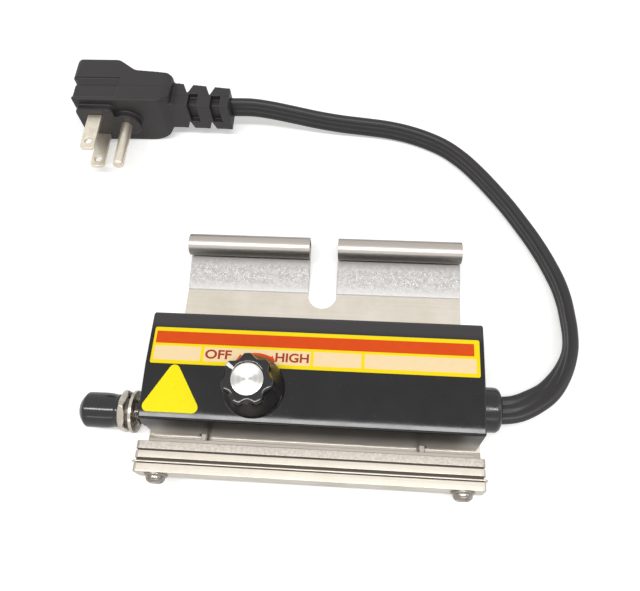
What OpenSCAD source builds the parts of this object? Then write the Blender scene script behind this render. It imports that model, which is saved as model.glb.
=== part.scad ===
// Hook-on bar heater: a sheet metal cover on a hooked base sheet, a stack of heated bars
// along the front edge, a rotary control on top and a short flat mains lead.
// Millimetres. X runs to the right, Y to the back, Z up. The base sheet lies on z = 0 and
// the origin is under the middle of the cover.

/* [Cover] */
// Width of the cover
cover_w = 120; // [114:1:150]
// Depth of the cover, front edge to rear wall
cover_d = 39; // [37:0.5:48]
// Height of the cover above the base sheet
cover_h = 23.6; // [22.6:0.2:32]
// Sheet thickness of the cover
cover_t = 1; // [0.8:0.1:1.4]
// Depth of the sloping control zone behind the front edge
slope_run = 18.4; // [17.6:0.2:20]
// Fall of the control zone towards the front, in degrees
slope_deg = 6; // [2:1:9]
// How far the front wall's foot stands out past the front edge
wall_lean = 1.7; // [0.5:0.1:2.5]
// Outside radius of the front bend
front_bend_r = 1.6; // [1.5:0.1:2.4]
// Outside radius of the rear bend
rear_bend_r = 2; // [1.6:0.2:4]
// Width of the inward foot on each end wall
foot_w = 9; // [8:0.5:14]
// Diameter of the rivets that hold the feet
rivet_d = 3.2; // [2.4:0.1:3.6]
// Diameter of the rivets' flush and upset heads
rivet_head_d = 5.2; // [4.8:0.1:6]
// Height of the rivets' upset heads
rivet_head_t = 1; // [0.6:0.1:1.4]

/* [Base and hooks] */
// Thickness of the base sheet
sheet_t = 1.2; // [1:0.1:1.6]
// How far the base sheet stands out past each end of the cover
base_lip = 1.5; // [0.5:0.1:4]
// Width of the hooked part behind the cover
hook_w = 111.5; // [100:0.5:118]
// Flat run from the cover's rear wall to the bend
hook_reach = 20.8; // [18:0.2:30]
// Length of the raised strip between the bend and the curls
strip_run = 18.2; // [12:0.2:24]
// Rise of that strip, in degrees
strip_deg = 12; // [8:1:16]
// Diameter of the rod that the curls hook over
rod_d = 6; // [5:0.1:8]
// Radial play of the rod in the curls
rod_play = 0.2; // [0.1:0.05:0.4]
// Part of each curl's circle that stays open at its lip, in degrees
curl_open_deg = 60; // [50:2:80]
// Width of the notch between the two curls
notch_w = 11.5; // [9:0.5:20]
// Distance from the cover's rear wall to the notch's round floor
notch_floor = 13.9; // [8:0.1:15]
// Gap between the cover's front edge and the upturned flange
flange_gap = 6.4; // [5.6:0.1:9]
// How far the upturned flange stops short of the bars at each end
flange_in = 4; // [2:0.2:5]
// Inside radius of the flange's bend
flange_bend_r = 1.5; // [1:0.1:2.4]

/* [Heater bars] */
// Length of the bars
bar_w = 120; // [116:1:150]
// Height of the bars
bar_h = 10; // [9.4:0.2:13]
// Height of the bars' top edges above the base sheet
bar_rise = 17.5; // [16:0.1:19]
// How far the flange's top stays below the bars' top edges
flange_drop = 0.5; // [0.2:0.1:2]
// Thickness of the bar against the flange
rear_bar_t = 2.8; // [2:0.1:4]
// Thickness of the mica sheet behind the heat bar
rear_mica_t = 0.6; // [0.4:0.1:1]
// Thickness of the heat bar
heat_bar_t = 2.4; // [2:0.1:4]
// Thickness of the wound mica card
element_t = 1; // [0.8:0.1:1.6]
// Thickness of the shim that spreads the heat
shim_t = 0.5; // [0.4:0.1:0.8]
// How far the shim's ends stand out past the bars
shim_over = 0.7; // [0.3:0.1:1.5]
// Thickness of the mica sheet behind the front bar
front_mica_t = 0.4; // [0.3:0.1:0.8]
// Thickness of the front bar
front_bar_t = 2.9; // [2:0.1:4]
// Corner radius of the bars
bar_corner_r = 1.5; // [0.5:0.1:2]
// Distance from the bars' ends to the screws
screw_inset = 7.3; // [6:0.1:10]
// Thread diameter of the bar screws
screw_d = 4; // [3:0.1:4.4]
// Diameter of the screws' domed heads
screw_head_d = 6.8; // [6:0.1:7.4]
// Height of the domes above the flanges
screw_head_h = 2.2; // [1.6:0.1:3]
// Diameter of the screw heads' flanges
screw_flange_d = 8.6; // [8.2:0.1:9.4]
// Thickness of the screw heads' flanges
screw_flange_t = 0.8; // [0.6:0.1:1.2]
// Radial play of the screws and rivets in their holes
hole_play = 0.1; // [0.05:0.05:0.15]
// Place of the heater leads, in from the bars' ends
lead_in = 20; // [16:1:30]

/* [Control] */
// Place of the control along the width
knob_x = -20.3; // [-24:0.1:-12]
// Distance of the control behind the front edge
knob_back = 11.7; // [11.3:0.1:12.5]
// Width of the control's case
case_w = 24; // [20:0.5:26]
// Depth of the control's case, front to back
case_d = 18; // [17:0.2:18.4]
// Height of the control's case
case_h = 12; // [9:0.5:13]
// Thickness of the control's mounting plate
plate_t = 1; // [0.8:0.1:1.2]
// Diameter of the threaded bushing
bushing_d = 9.5; // [9:0.1:10]
// Height of the bushing above the cover
bushing_l = 5; // [4.2:0.1:5.4]
// Diameter of the shaft
shaft_d = 6.35; // [5:0.05:6.8]
// Radial running clearance of the shaft in its bushing
shaft_play = 0.05; // [0.03:0.01:0.08]
// Diameter of the cam on the shaft
cam_d = 11; // [9:0.5:11.4]
// Thickness of the cam
cam_t = 3.4; // [2.4:0.1:4]
// Clearance round the cam
cam_play = 0.6; // [0.5:0.1:0.8]
// Width across flats of the panel nut
panel_nut_af = 12.7; // [12:0.1:13.2]
// Thickness of the panel nut
panel_nut_t = 2; // [1.6:0.1:2.2]
// Thickness of the washer under the panel nut
panel_washer_t = 0.6; // [0.4:0.1:0.8]
// Width of the tab terminals
tab_w = 6.3; // [4.8:0.1:6.3]
// Thickness of the tab terminals
tab_t = 0.8; // [0.6:0.1:1]
// Length of the tab terminals
tab_l = 6.5; // [6:0.1:8]

/* [Knob] */
// Diameter of the knob's skirt
knob_d = 22; // [21:0.2:22.4]
// Diameter over the lobes at the top
knob_top_d = 17.8; // [16.4:0.1:18]
// Height of the knob's top above the cover
knob_h = 14.2; // [13.6:0.1:17]
// Gap between the knob and the cover
knob_gap = 0.7; // [0.6:0.1:1]
// Height of the skirt's edge
skirt_h = 2.8; // [2.6:0.1:3.4]
// Number of lobes
lobes = 7; // [6:1:9]
// Radius of the flutes between the lobes
flute_r = 3.2; // [2.6:0.1:3.6]
// Depth of the flutes at the top
flute_depth = 1.5; // [0.8:0.1:1.7]
// Diameter of the metal inlay
inlay_d = 11; // [9:0.1:11.6]
// Thickness of the inlay
inlay_t = 0.5; // [0.4:0.1:0.8]
// Diameter of the set screw
set_screw_d = 3; // [2.5:0.1:3.2]
// Bearing of the pointer seen from above, anticlockwise from the right, in degrees
pointer_deg = 146; // [90:1:180]
// Width of the white pointer
pointer_w = 1.2; // [0.8:0.1:1.6]

/* [Side stud] */
// Diameter of the stud
stud_d = 8; // [6:0.1:8.2]
// Distance of the stud behind the front edge
stud_back = 4.5; // [4.4:0.1:8]
// Height of the stud above the base sheet
stud_rise = 8.5; // [8.3:0.1:12]
// Length of the collar between the cover and the washers
collar_l = 4.6; // [2:0.1:8]
// Diameter of the collar
collar_d = 10; // [9.6:0.1:14]
// Thickness of the flat washer
washer_t = 1.2; // [0.8:0.1:2]
// Diameter of the flat washer
washer_d = 15.5; // [13:0.1:16.2]
// Thickness of the lock washer
lock_t = 1.6; // [1:0.1:2.4]
// Diameter of the lock washer
lock_d = 13.5; // [12:0.1:15]
// Width across flats of the stud's nut
stud_nut_af = 14; // [12.5:0.1:14.4]
// Thickness of the stud's nut
stud_nut_t = 2.6; // [2.4:0.1:6]
// Diameter of the vinyl cap
cap_d = 13; // [12:0.1:15]
// Diameter of the vinyl cap's drawn-in mouth
cap_mouth_d = 11.4; // [10.6:0.1:11.6]
// Length of the vinyl cap
cap_l = 16.6; // [12:0.1:22]
// Thickness of the vinyl cap's closed end
cap_end_t = 3; // [1.6:0.1:3.4]
// Play of the cap on the stud, and its gap to the nut
cap_play = 0.08; // [0.05:0.01:0.1]

/* [Lead and gland] */
// Width of the flat lead
cord_w = 10; // [9:0.1:10]
// Thickness of the flat lead
cord_t = 4; // [3.4:0.1:4.2]
// Clearance round the lead in the gland
cord_play = 0.15; // [0.1:0.05:0.3]
// Diameter of the gland's head
gland_d = 16; // [15:0.1:17]
// Length of the gland's head
gland_l = 6.6; // [5:0.1:8]
// Diameter of the gland's neck in the cover
gland_neck_d = 13.4; // [13:0.1:13.8]
// Length of the gland's jaws inside the cover
gland_jaw_l = 6; // [4:0.1:6]
// Rounding of the gland's head
gland_round_r = 2.2; // [1:0.1:3]

/* [Plug] */
// Length of the plug's body
plug_l = 45; // [42:0.5:46]
// Height of the plug's body as it stands on its edge
plug_h = 26.8; // [25:0.1:26.8]
// Thickness of the plug's body at the grip
plug_grip_t = 23.2; // [20:0.1:26]
// Thickness of the plug's body at the lead
plug_neck_t = 17.4; // [16:0.1:19]
// Rounding of the plug's face
plug_corner_r = 8; // [4:0.5:10]
// Width of the blades
blade_w = 6.3; // [6:0.1:7]
// Thickness of the blades
blade_t = 1.5; // [1.2:0.1:1.6]
// Length of the blades
blade_l = 18.4; // [16:0.1:19]
// Spacing of the blades
blade_pitch = 12.7; // [12:0.1:13]
// Diameter of the hole near a blade's end
blade_hole_d = 3.2; // [2.8:0.1:3.6]
// Diameter of the earth pin
pin_d = 4.8; // [4.6:0.1:5]
// Length of the earth pin
pin_l = 22; // [20:0.1:23]
// Distance of the earth pin from the blades
pin_offset = 12.4; // [11.5:0.1:13]

/* [Label] */
// Width of the label
label_w = 116.6; // [90:0.2:117]
// Height of the label
label_h = 13.8; // [8:0.1:15]
// Thickness of the label and the sticker
label_t = 0.25; // [0.2:0.05:0.4]
// Gap between the bend and the label
label_gap = 0.3; // [0.2:0.1:2]
// Width of the yellow sticker
sticker_w = 19.8; // [16:0.2:21]
// Height of the yellow sticker
sticker_h = 17; // [12:0.2:17]
// Corner radius of the sticker
sticker_r = 2; // [1:0.1:3]
// Distance of the sticker from the cover's left end
sticker_inset = 1.2; // [0.5:0.1:3]

/* [Hidden] */

$fn = 48;
arc_steps = 6;
eps = 0.02;
past = 1;

// Main planes of the cover
y_front = -cover_d / 2;
y_rear = cover_d / 2;
z_base = sheet_t;
z_top = z_base + cover_h;
x_end = cover_w / 2;
slope_fall = slope_run * tan(slope_deg);

// The bars are stacked forward from the flange, each on the face of the one behind
y_flange = y_front - flange_gap;
y_rear_bar = y_flange - sheet_t;
y_rear_mica = y_rear_bar - rear_bar_t;
y_heat_bar = y_rear_mica - rear_mica_t;
y_element = y_heat_bar - heat_bar_t;
y_shim = y_element - element_t;
y_front_mica = y_shim - shim_t;
y_front_bar = y_front_mica - front_mica_t;
y_bar_face = y_front_bar - front_bar_t;
z_bar_top = z_base + bar_rise;
z_screw = z_bar_top - bar_h / 2;
screw_x = bar_w / 2 - screw_inset;
flange_w = bar_w - 2 * flange_in;
lead_x = bar_w / 2 - lead_in;

// The strip rises from the bend, and the curls roll up from its end
curl_r = rod_d / 2 + rod_play;
y_bend = y_rear + hook_reach;
strip_dir = [cos(strip_deg), sin(strip_deg)];
strip_end = [y_bend, sheet_t / 2] + strip_run * strip_dir;
curl_hub = strip_end + (curl_r + sheet_t / 2) * [-strip_dir[1], strip_dir[0]];

// The control stands square to the sloping zone
y_knob = y_front + knob_back;
z_knob = z_top - (slope_run - knob_back) * tan(slope_deg);
z_plate = -cover_t - plate_t;
knob_crown = 1.6;
shaft_top = knob_h - knob_crown;
nut_room = 0.6;
knob_cavity_top = panel_washer_t + panel_nut_t + nut_room;
knob_cavity_d = panel_nut_af / cos(30) + 2 * nut_room;
bushing_room_top = bushing_l + nut_room;
bend_gap = 0.2;
plate_back = slope_run - knob_back - bend_gap;
shaft_tail_l = 2;
tab_y = 5;
tab_drop = 8.6;
tab_root = 3;
tab_z = z_plate - tab_drop;
sleeve_l = 8;
sleeve_wall = 0.8;
sleeve_gap = 1;
sleeve_end = case_w / 2 + sleeve_gap + sleeve_l;

// The stud's stack runs outwards from the cover's left end
y_stud = y_front + stud_back;
z_stud = z_base + stud_rise;
x_collar = -x_end;
x_washer = x_collar - collar_l;
x_lock = x_washer - washer_t;
x_stud_nut = x_lock - lock_t;
x_cap = x_stud_nut - stud_nut_t - cap_play;
stud_tip_gap = 0.5;
stud_tip = x_cap - cap_l + cap_end_t + stud_tip_gap;
stud_inside = 0.8;
stud_chamfer = 0.8;

// The lead leaves through the cover's right end
gland_y = -8.5;
gland_z = 12.5;
cord_inner_x = 53;

// Route of the lead's middle line, from inside the gland to the plug
cord_route = [[53, -8.5, 12.5], [60, -8.5, 12.5], [67, -8.5, 12.5], [73, -7.5, 12.5],
              [79, -4.5, 12], [84.5, -0.5, 11], [89, 5, 10], [92.5, 11, 9], [95, 17.5, 8],
              [96, 24.5, 7], [96, 31.5, 6], [95.5, 38.5, 5.5], [94, 46, 5.1], [91.5, 53, 5.1],
              [88.5, 60, 5.1], [85, 67, 5.1], [81, 74, 5.1], [76.5, 81.5, 5.1],
              [71, 89.5, 5.1], [65, 97.5, 5.1], [58.5, 105, 5.1], [51, 111.5, 5.1],
              [43, 116, 5.1], [34, 119.5, 5.1], [24.5, 121.5, 5.5], [14.5, 122.5, 6],
              [4, 123, 7], [-7, 123.8, 8.5], [-18, 124.8, 10.5], [-27.5, 125.6, 12.2],
              [-36.5, 126, 13.4], [-45.8, 126, 13.4]];
// The flat lead turns on edge between these two points of the route
twist_from = 2;
twist_to = 9;

// The plug stands on its edge, with its blades towards the front
plug_x = -45.8;
plug_y = 126;
plug_z = 13.4;
relief_ribs = [[8.4, 14.8], [9.4, 15.4], [6.3, 16]];
relief_groove = 0.8;
relief_t = 12;
relief_r = 2;
relief_l = relief_ribs[0][0] + relief_ribs[1][0] + relief_ribs[2][0] + 2 * relief_groove;
relief_waist = 1.6;
x_plug_right = plug_x - relief_l;
x_plug_left = x_plug_right - plug_l;
y_plug_face = plug_y - plug_neck_t / 2;
pin_in = 20.9;
x_pin = x_plug_right - pin_in;
x_blades = x_pin - pin_offset;
// The blades stand on a raised block, and the pin on a boss beside it
block_out = 3;
block_w = 16.8;
block_h = 20;
block_r = 2.4;
boss_d = 12.4;
y_plug_front = y_plug_face - block_out;

// Inside the cover
wire_d = 2.2;
wire_seat = 0.3;
// Room a lead takes to turn
wire_bend = 4;
earth_in = 24;
earth_back = 7.5;
earth_at = [x_end - earth_in, y_rear - earth_back];
earth_stud_d = 4;
earth_lug_t = 0.8;
earth_nut_t = 3.2;
earth_nut_af = 7;
cutout_off = 8.3;
cutout_back = 7.5;
cutout_at = [knob_x + cutout_off, y_rear - cutout_back];
cutout_d = 4.4;
cutout_l = 14;
splice_in = 38;
splice_front = 17.5;
splice_at = [x_end - splice_in, y_front + splice_front];
// Half the spacing of the two wires in the splice cap
splice_half = 1.4;
splice_d = 5.6;
splice_l = 14;
lead_z = z_base + 2.6;

function unit(v) = v / norm(v);
function left_of(v) = [-v[1], v[0]];
function reversed(list) = [for (i = [len(list) - 1:-1:0]) list[i]];

// Point where the line through p along u meets the line through q along v
function meet(p, u, q, v) =
    p + u * ((q[0] - p[0]) * v[1] - (q[1] - p[1]) * v[0]) / (u[0] * v[1] - u[1] * v[0]);

// Closed anticlockwise outline, moved inwards by t
function inset(pts, t) =
    let (n = len(pts))
    [for (i = [0:n - 1])
        let (u = unit(pts[i] - pts[(i + n - 1) % n]), v = unit(pts[(i + 1) % n] - pts[i]))
        meet(pts[i] + t * left_of(u), u, pts[i] + t * left_of(v), v)];

// Open line moved to its left by d
function beside(pts, d) =
    let (n = len(pts))
    [for (i = [0:n - 1])
        let (u = unit(pts[max(i, 1)] - pts[max(i, 1) - 1]),
             v = unit(pts[min(i, n - 2) + 1] - pts[min(i, n - 2)]))
        i == 0 || i == n - 1 ? pts[i] + d * left_of(i == 0 ? v : u)
            : meet(pts[i] + d * left_of(u), u, pts[i] + d * left_of(v), v)];

// Arc of radius r that rounds the corner b between a and c
function corner_arc(a, b, c, r) =
    r <= 0 ? [b] :
    let (u = unit(a - b),
         v = unit(c - b),
         half = acos(u * v) / 2,
         hub = b + unit(u + v) * r / sin(half),
         s = b + u * r / tan(half) - hub,
         turn = (u[0] * v[1] > u[1] * v[0] ? -1 : 1) * (180 - 2 * half))
    [for (k = [0:arc_steps])
        let (w = turn * k / arc_steps)
        hub + [s[0] * cos(w) - s[1] * sin(w), s[0] * sin(w) + s[1] * cos(w)]];

// Closed outline with its corners rounded by the radii in rs
function rounded(pts, rs) =
    let (n = len(pts))
    [for (i = [0:n - 1]) each corner_arc(pts[(i + n - 1) % n], pts[i], pts[(i + 1) % n], rs[i])];

function box_outline(x0, y0, x1, y1) = [[x0, y0], [x1, y0], [x1, y1], [x0, y1]];
function round_box(x0, y0, x1, y1, r) = rounded(box_outline(x0, y0, x1, y1), [r, r, r, r]);

// Points between the given ones on one smooth curve, for the wires
function curve_point(p, q, r, s, t) =
    0.5 * (2 * q + (r - p) * t + (2 * p - 5 * q + 4 * r - s) * t * t
        + (3 * q - p - 3 * r + s) * t * t * t);
function smooth_path(pts, steps) =
    let (n = len(pts))
    [for (i = [0:n - 2], k = [0:steps - 1])
        curve_point(pts[max(i - 1, 0)], pts[i], pts[i + 1], pts[min(i + 2, n - 1)], k / steps),
     pts[n - 1]];

// Closed tube along a route. Its outline holds points [across, up], turned about the route
// by the angle in turns at each ring
module sweep(route, outline, turns) {
    n = len(route);
    m = len(outline);
    rings = [for (i = [0:n - 1])
        let (along = unit(route[min(i + 1, n - 1)] - route[max(i - 1, 0)]),
             across = unit(cross(along, [0, 0, 1])),
             up = cross(across, along),
             c = cos(turns[i]),
             s = sin(turns[i]))
        each [for (q = outline)
            route[i] + across * (q[0] * c - q[1] * s) + up * (q[0] * s + q[1] * c)]];
    sides = [for (i = [0:n - 2], j = [0:m - 1])
        let (a = i * m + j, b = i * m + (j + 1) % m)
        each [[a, b, b + m], [a, b + m, a + m]]];
    first = [for (j = [1:m - 2]) [0, j + 1, j]];
    last = [for (j = [1:m - 2]) (n - 1) * m * [1, 1, 1] + [0, j, j + 1]];
    polyhedron(rings, concat(sides, first, last));
}

module wire(points) {
    route = smooth_path(points, 3);
    ring = [for (a = [0:45:315]) wire_d / 2 * [cos(a), sin(a)]];
    sweep(route, ring, [for (p = route) 0]);
}

// Outline in Y and Z, drawn out along X about the middle
module along_x(w) {
    rotate([90, 0, 90])
        translate([0, 0, -w / 2])
            linear_extrude(w)
                children();
}

// Outline in X and Z, drawn out forwards from y
module forward(y, depth) {
    translate([0, y, 0])
        rotate([90, 0, 0])
            linear_extrude(depth)
                children();
}

// Frame on the sloping zone: z along the knob's axis, from the cover's outer face
module on_slope(x, back) {
    translate([x, y_front + back, z_top - (slope_run - back) * tan(slope_deg)])
        rotate([slope_deg, 0, 0])
            children();
}

module on_control() {
    on_slope(knob_x, knob_back)
        children();
}

// Frame on the stud's axis: z outwards to the left, from the given x
module on_stud(x) {
    translate([x, y_stud, z_stud])
        rotate([0, -90, 0])
            children();
}

module ring(d, bore, h) {
    difference() {
        cylinder(d = d, h = h);
        translate([0, 0, -past])
            cylinder(d = bore, h = h + 2 * past);
    }
}

module hex(af, h) {
    cylinder(d = af / cos(30), h = h, $fn = 6);
}

module hex_nut(af, bore, h) {
    difference() {
        intersection() {
            hex(af, h);
            // Turned chamfer on both faces
            rotate_extrude()
                polygon([[0, 0], [af / 2, 0], [af / 2 + h / 3, h / 5],
                         [af / 2 + h / 3, h * 4 / 5], [af / 2, h], [0, h]]);
        }
        translate([0, 0, -past])
            cylinder(d = bore, h = h + 2 * past);
    }
}

// Side view of the cover, with its foot drop below the base sheet
function cover_outline(drop) =
    let (lean = wall_lean * (1 + drop / (cover_h - slope_fall)))
    [[y_front - lean, z_base - drop], [y_rear, z_base - drop], [y_rear, z_top],
     [y_front + slope_run, z_top], [y_front, z_top - slope_fall]];

foot_front = 7;
foot_rear = 5;
foot_edge = 0.6;
rivet_x = x_end - foot_w + rivet_head_d / 2 + foot_edge;
rivet_y = [y_front + foot_front + rivet_head_d / 2 + foot_edge,
           y_rear - foot_rear - rivet_head_d / 2 - foot_edge];
rivet_spots = [for (sx = [-1, 1], y = rivet_y) [sx * rivet_x, y]];
lead_room = 1;
lead_hole_w = wire_d + 2 * lead_room;

module cover() {
    color("#2b292b")
        difference() {
            union() {
                difference() {
                    along_x(cover_w)
                        polygon(rounded(cover_outline(0), [0, 0, rear_bend_r, 0, front_bend_r]));
                    along_x(cover_w - 2 * cover_t)
                        polygon(rounded(inset(cover_outline(cover_t + past), cover_t),
                            [0, 0, rear_bend_r - cover_t, 0, front_bend_r - cover_t]));
                }
                for (sx = [-1, 1])
                    translate([sx * (x_end - foot_w / 2) - foot_w / 2, y_front + foot_front, z_base])
                        cube([foot_w, cover_d - foot_front - foot_rear, cover_t]);
            }
            for (p = rivet_spots)
                translate([p[0], p[1], z_base - past])
                    cylinder(d = rivet_d + 2 * hole_play, h = cover_t + 2 * past);
            on_control()
                translate([0, 0, -cover_t - past])
                    cylinder(d = bushing_d + 2 * hole_play, h = cover_t + 2 * past);
            on_stud(-x_end + cover_t + past)
                cylinder(d = stud_d + 2 * hole_play, h = cover_t + 2 * past);
            translate([x_end - cover_t - past, gland_y, gland_z])
                rotate([0, 90, 0])
                    cylinder(d = gland_neck_d + 2 * hole_play, h = cover_t + 2 * past);
            // Notches in the front wall's foot for the heater leads
            for (sx = [-1, 1])
                translate([sx * lead_x - lead_hole_w / 2, y_front - wall_lean - past, z_base - past])
                    cube([lead_hole_w, wall_lean + cover_t + 2 * past,
                          lead_z - z_base + lead_hole_w / 2 + past]);
        }
}

module cover_rivets() {
    color("#b9b4aa")
        for (p = rivet_spots)
            translate([p[0], p[1], 0]) {
                cylinder(d1 = rivet_head_d, d2 = rivet_d, h = (rivet_head_d - rivet_d) / 2);
                cylinder(d = rivet_d, h = z_base + cover_t + eps);
                translate([0, 0, z_base + cover_t])
                    cylinder(d1 = rivet_head_d, d2 = rivet_d, h = rivet_head_t);
            }
}

// Bent side view of the base sheet: flange, base and raised strip
sheet_line = [[y_flange - sheet_t / 2, z_bar_top - flange_drop], [y_flange - sheet_t / 2, sheet_t / 2],
              [y_bend, sheet_t / 2], strip_end];
sheet_outline = rounded(
    concat(beside(sheet_line, sheet_t / 2), reversed(beside(sheet_line, -sheet_t / 2))),
    [0, flange_bend_r, 0, 0, 0, 0, flange_bend_r + sheet_t, 0]);
base_w = cover_w + 2 * base_lip;
y_sheet_end = curl_hub[0] + curl_r + sheet_t + past;

// Seen from above: a flange no wider than the bars, a base wider than the cover, the hooks
module sheet_plan() {
    y_fold = y_flange + flange_bend_r + sheet_t / 2;
    polygon(box_outline(-flange_w / 2, y_flange - sheet_t - past, flange_w / 2, y_fold + past));
    polygon(box_outline(-base_w / 2, y_fold, base_w / 2, y_rear));
    polygon(box_outline(-hook_w / 2, y_rear - past, hook_w / 2, y_sheet_end));
}

module curl_ring() {
    lip_from = 180 + strip_deg + 90 - curl_open_deg;
    lip_to = 270 + strip_deg;
    far = 3 * (curl_r + sheet_t);
    difference() {
        translate([-hook_w / 2, curl_hub[0], curl_hub[1]])
            rotate([0, 90, 0])
                ring(2 * (curl_r + sheet_t), 2 * curl_r, hook_w);
        along_x(hook_w + 2 * past)
            translate(curl_hub)
                polygon([[0, 0], far * [cos(lip_from), sin(lip_from)],
                         far * [cos((lip_from + lip_to) / 2), sin((lip_from + lip_to) / 2)],
                         far * [cos(lip_to), sin(lip_to)]]);
    }
}

module hook_sheet() {
    y_notch = y_rear + notch_floor + notch_w / 2;
    tall = z_bar_top + past;
    color("#cfc8bc")
        difference() {
            intersection() {
                union() {
                    along_x(base_w + 2 * past)
                        polygon(sheet_outline);
                    curl_ring();
                }
                translate([0, 0, -past])
                    linear_extrude(tall + past)
                        sheet_plan();
            }
            translate([0, y_notch, -past])
                cylinder(d = notch_w, h = tall);
            translate([-notch_w / 2, y_notch, -past])
                cube([notch_w, y_sheet_end - y_notch, tall]);
            for (p = rivet_spots)
                translate([p[0], p[1], 0]) {
                    translate([0, 0, -past])
                        cylinder(d = rivet_d + 2 * hole_play, h = sheet_t + 2 * past);
                    translate([0, 0, -hole_play])
                        cylinder(d1 = rivet_head_d + 4 * hole_play, d2 = rivet_d,
                            h = (rivet_head_d - rivet_d) / 2 + 2 * hole_play);
                }
            for (sx = [-1, 1]) {
                translate([sx * screw_x, y_flange + past, z_screw])
                    rotate([90, 0, 0])
                        cylinder(d = screw_d + 2 * hole_play, h = sheet_t + 2 * past);
                // Notches in the flange for the heater leads
                translate([sx * lead_x, y_flange + past, lead_z])
                    rotate([90, 0, 0])
                        cylinder(d = lead_hole_w, h = sheet_t + 2 * past);
            }
        }
}

module bar(y, t, w) {
    difference() {
        forward(y, t)
            polygon(round_box(-w / 2, z_bar_top - bar_h, w / 2, z_bar_top, bar_corner_r));
        for (sx = [-1, 1])
            translate([sx * screw_x, y + past, z_screw])
                rotate([90, 0, 0])
                    cylinder(d = screw_d + 2 * hole_play, h = t + 2 * past);
    }
}

// The mica stays back from the bars' edges
mica_inset = 0.8;

module mica_sheet(y, t) {
    difference() {
        forward(y, t)
            polygon(box_outline(-bar_w / 2 + mica_inset, z_bar_top - bar_h + mica_inset,
                bar_w / 2 - mica_inset, z_bar_top - mica_inset));
        for (sx = [-1, 1])
            translate([sx * screw_x, y + past, z_screw])
                rotate([90, 0, 0])
                    cylinder(d = screw_d + 2 * hole_play, h = t + 2 * past);
    }
}

module rear_bar() {
    color("#b9b1a4")
        bar(y_rear_bar, rear_bar_t, bar_w);
}

module rear_mica() {
    color("#8f7f62")
        mica_sheet(y_rear_mica, rear_mica_t);
}

module heat_bar() {
    color("#e3dbcb")
        bar(y_heat_bar, heat_bar_t, bar_w);
}

// Wound mica card, with a tail below the bars at each lead
tail_w = 5;
z_tail = lead_z + wire_d / 2 + wire_seat;

module heating_element() {
    color("#6d5f49")
        union() {
            mica_sheet(y_element, element_t);
            forward(y_element, element_t)
                for (sx = [-1, 1])
                    polygon(box_outline(sx * lead_x - tail_w / 2, z_tail,
                        sx * lead_x + tail_w / 2, z_bar_top - bar_h / 2));
        }
}

module heat_shim() {
    color("#e9e5db")
        bar(y_shim, shim_t, bar_w + 2 * shim_over);
}

module front_mica() {
    color("#8f7f62")
        mica_sheet(y_front_mica, front_mica_t);
}

module front_bar() {
    color("#e3dbcb")
        bar(y_front_bar, front_bar_t, bar_w);
}

module bar_screws() {
    head_h = screw_flange_t + screw_head_h;
    flange_draft = 0.3;
    slot_w = 1;
    slot_depth = 0.9;
    edge_r = 0.2;
    dome_r = screw_head_h * 0.85;
    color("#d6d1c6")
        for (sx = [-1, 1])
            translate([sx * screw_x, y_bar_face, z_screw])
                rotate([90, 0, 0]) {
                    difference() {
                        rotate_extrude()
                            polygon(rounded([[0, 0], [screw_flange_d / 2, 0],
                                [screw_flange_d / 2 - flange_draft, screw_flange_t],
                                [screw_head_d / 2, screw_flange_t], [screw_head_d / 2, head_h],
                                [0, head_h]], [0, 0, edge_r, edge_r, dome_r, 0]));
                        // Driver slot across the dome
                        translate([-screw_head_d / 2, -slot_w / 2, head_h - slot_depth])
                            cube([screw_head_d, slot_w, slot_depth + past]);
                    }
                    translate([0, 0, y_bar_face - y_flange])
                        cylinder(d = screw_d, h = y_flange - y_bar_face + eps);
                }
}

module label_plate() {
    label_r = 0.8;
    y0 = y_front + slope_run + label_gap;
    color("#ffe51a")
        translate([0, 0, z_top])
            linear_extrude(label_t)
                polygon(round_box(-label_w / 2, y0, label_w / 2, y0 + label_h, label_r));
}

module corner_sticker() {
    hubs = [[sticker_r, sticker_r], [sticker_w - sticker_r, sticker_r],
            [sticker_w / 2, sticker_h - sticker_r]];
    color("#fff200")
        on_slope(-x_end + sticker_inset, slope_run - sticker_h * cos(slope_deg))
            linear_extrude(label_t)
                polygon(rounded(inset(hubs, -sticker_r), [sticker_r, sticker_r, sticker_r]));
}

// Control: plate and bushing on the cover, moulded case below, cam and shaft inside
module control_plate() {
    color("#c4bda9")
        on_control()
            difference() {
                union() {
                    translate([-case_w / 2, -case_d / 2, z_plate])
                        cube([case_w, case_d / 2 + plate_back, plate_t]);
                    translate([0, 0, -cover_t - eps])
                        cylinder(d = bushing_d, h = cover_t + bushing_l + eps);
                }
                translate([0, 0, z_plate - past])
                    cylinder(d = shaft_d + 2 * shaft_play, h = bushing_l - z_plate + 2 * past);
            }
}

cam_pocket_h = cam_t + 2 * cam_play;
shaft_tail_d = shaft_d - 2;

module control_case() {
    color("#4a3a30")
        on_control()
            difference() {
                translate([-case_w / 2, -case_d / 2, z_plate - case_h])
                    cube([case_w, case_d, case_h]);
                translate([0, 0, z_plate - cam_pocket_h])
                    cylinder(d = cam_d + 2 * cam_play, h = cam_pocket_h + past);
                translate([0, 0, z_plate - cam_pocket_h - shaft_tail_l - cam_play])
                    cylinder(d = shaft_tail_d + 2 * shaft_play, h = cam_pocket_h);
                for (sy = [-1, 1])
                    translate([case_w / 2 - tab_root, sy * tab_y - tab_w / 2, tab_z - tab_t / 2])
                        cube([tab_root + past, tab_w, tab_t]);
            }
}

module control_tabs() {
    color("#c9a24a")
        on_control()
            for (sy = [-1, 1])
                translate([case_w / 2 - tab_root, sy * tab_y - tab_w / 2, tab_z - tab_t / 2])
                    cube([tab_root + tab_l, tab_w, tab_t]);
}

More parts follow.
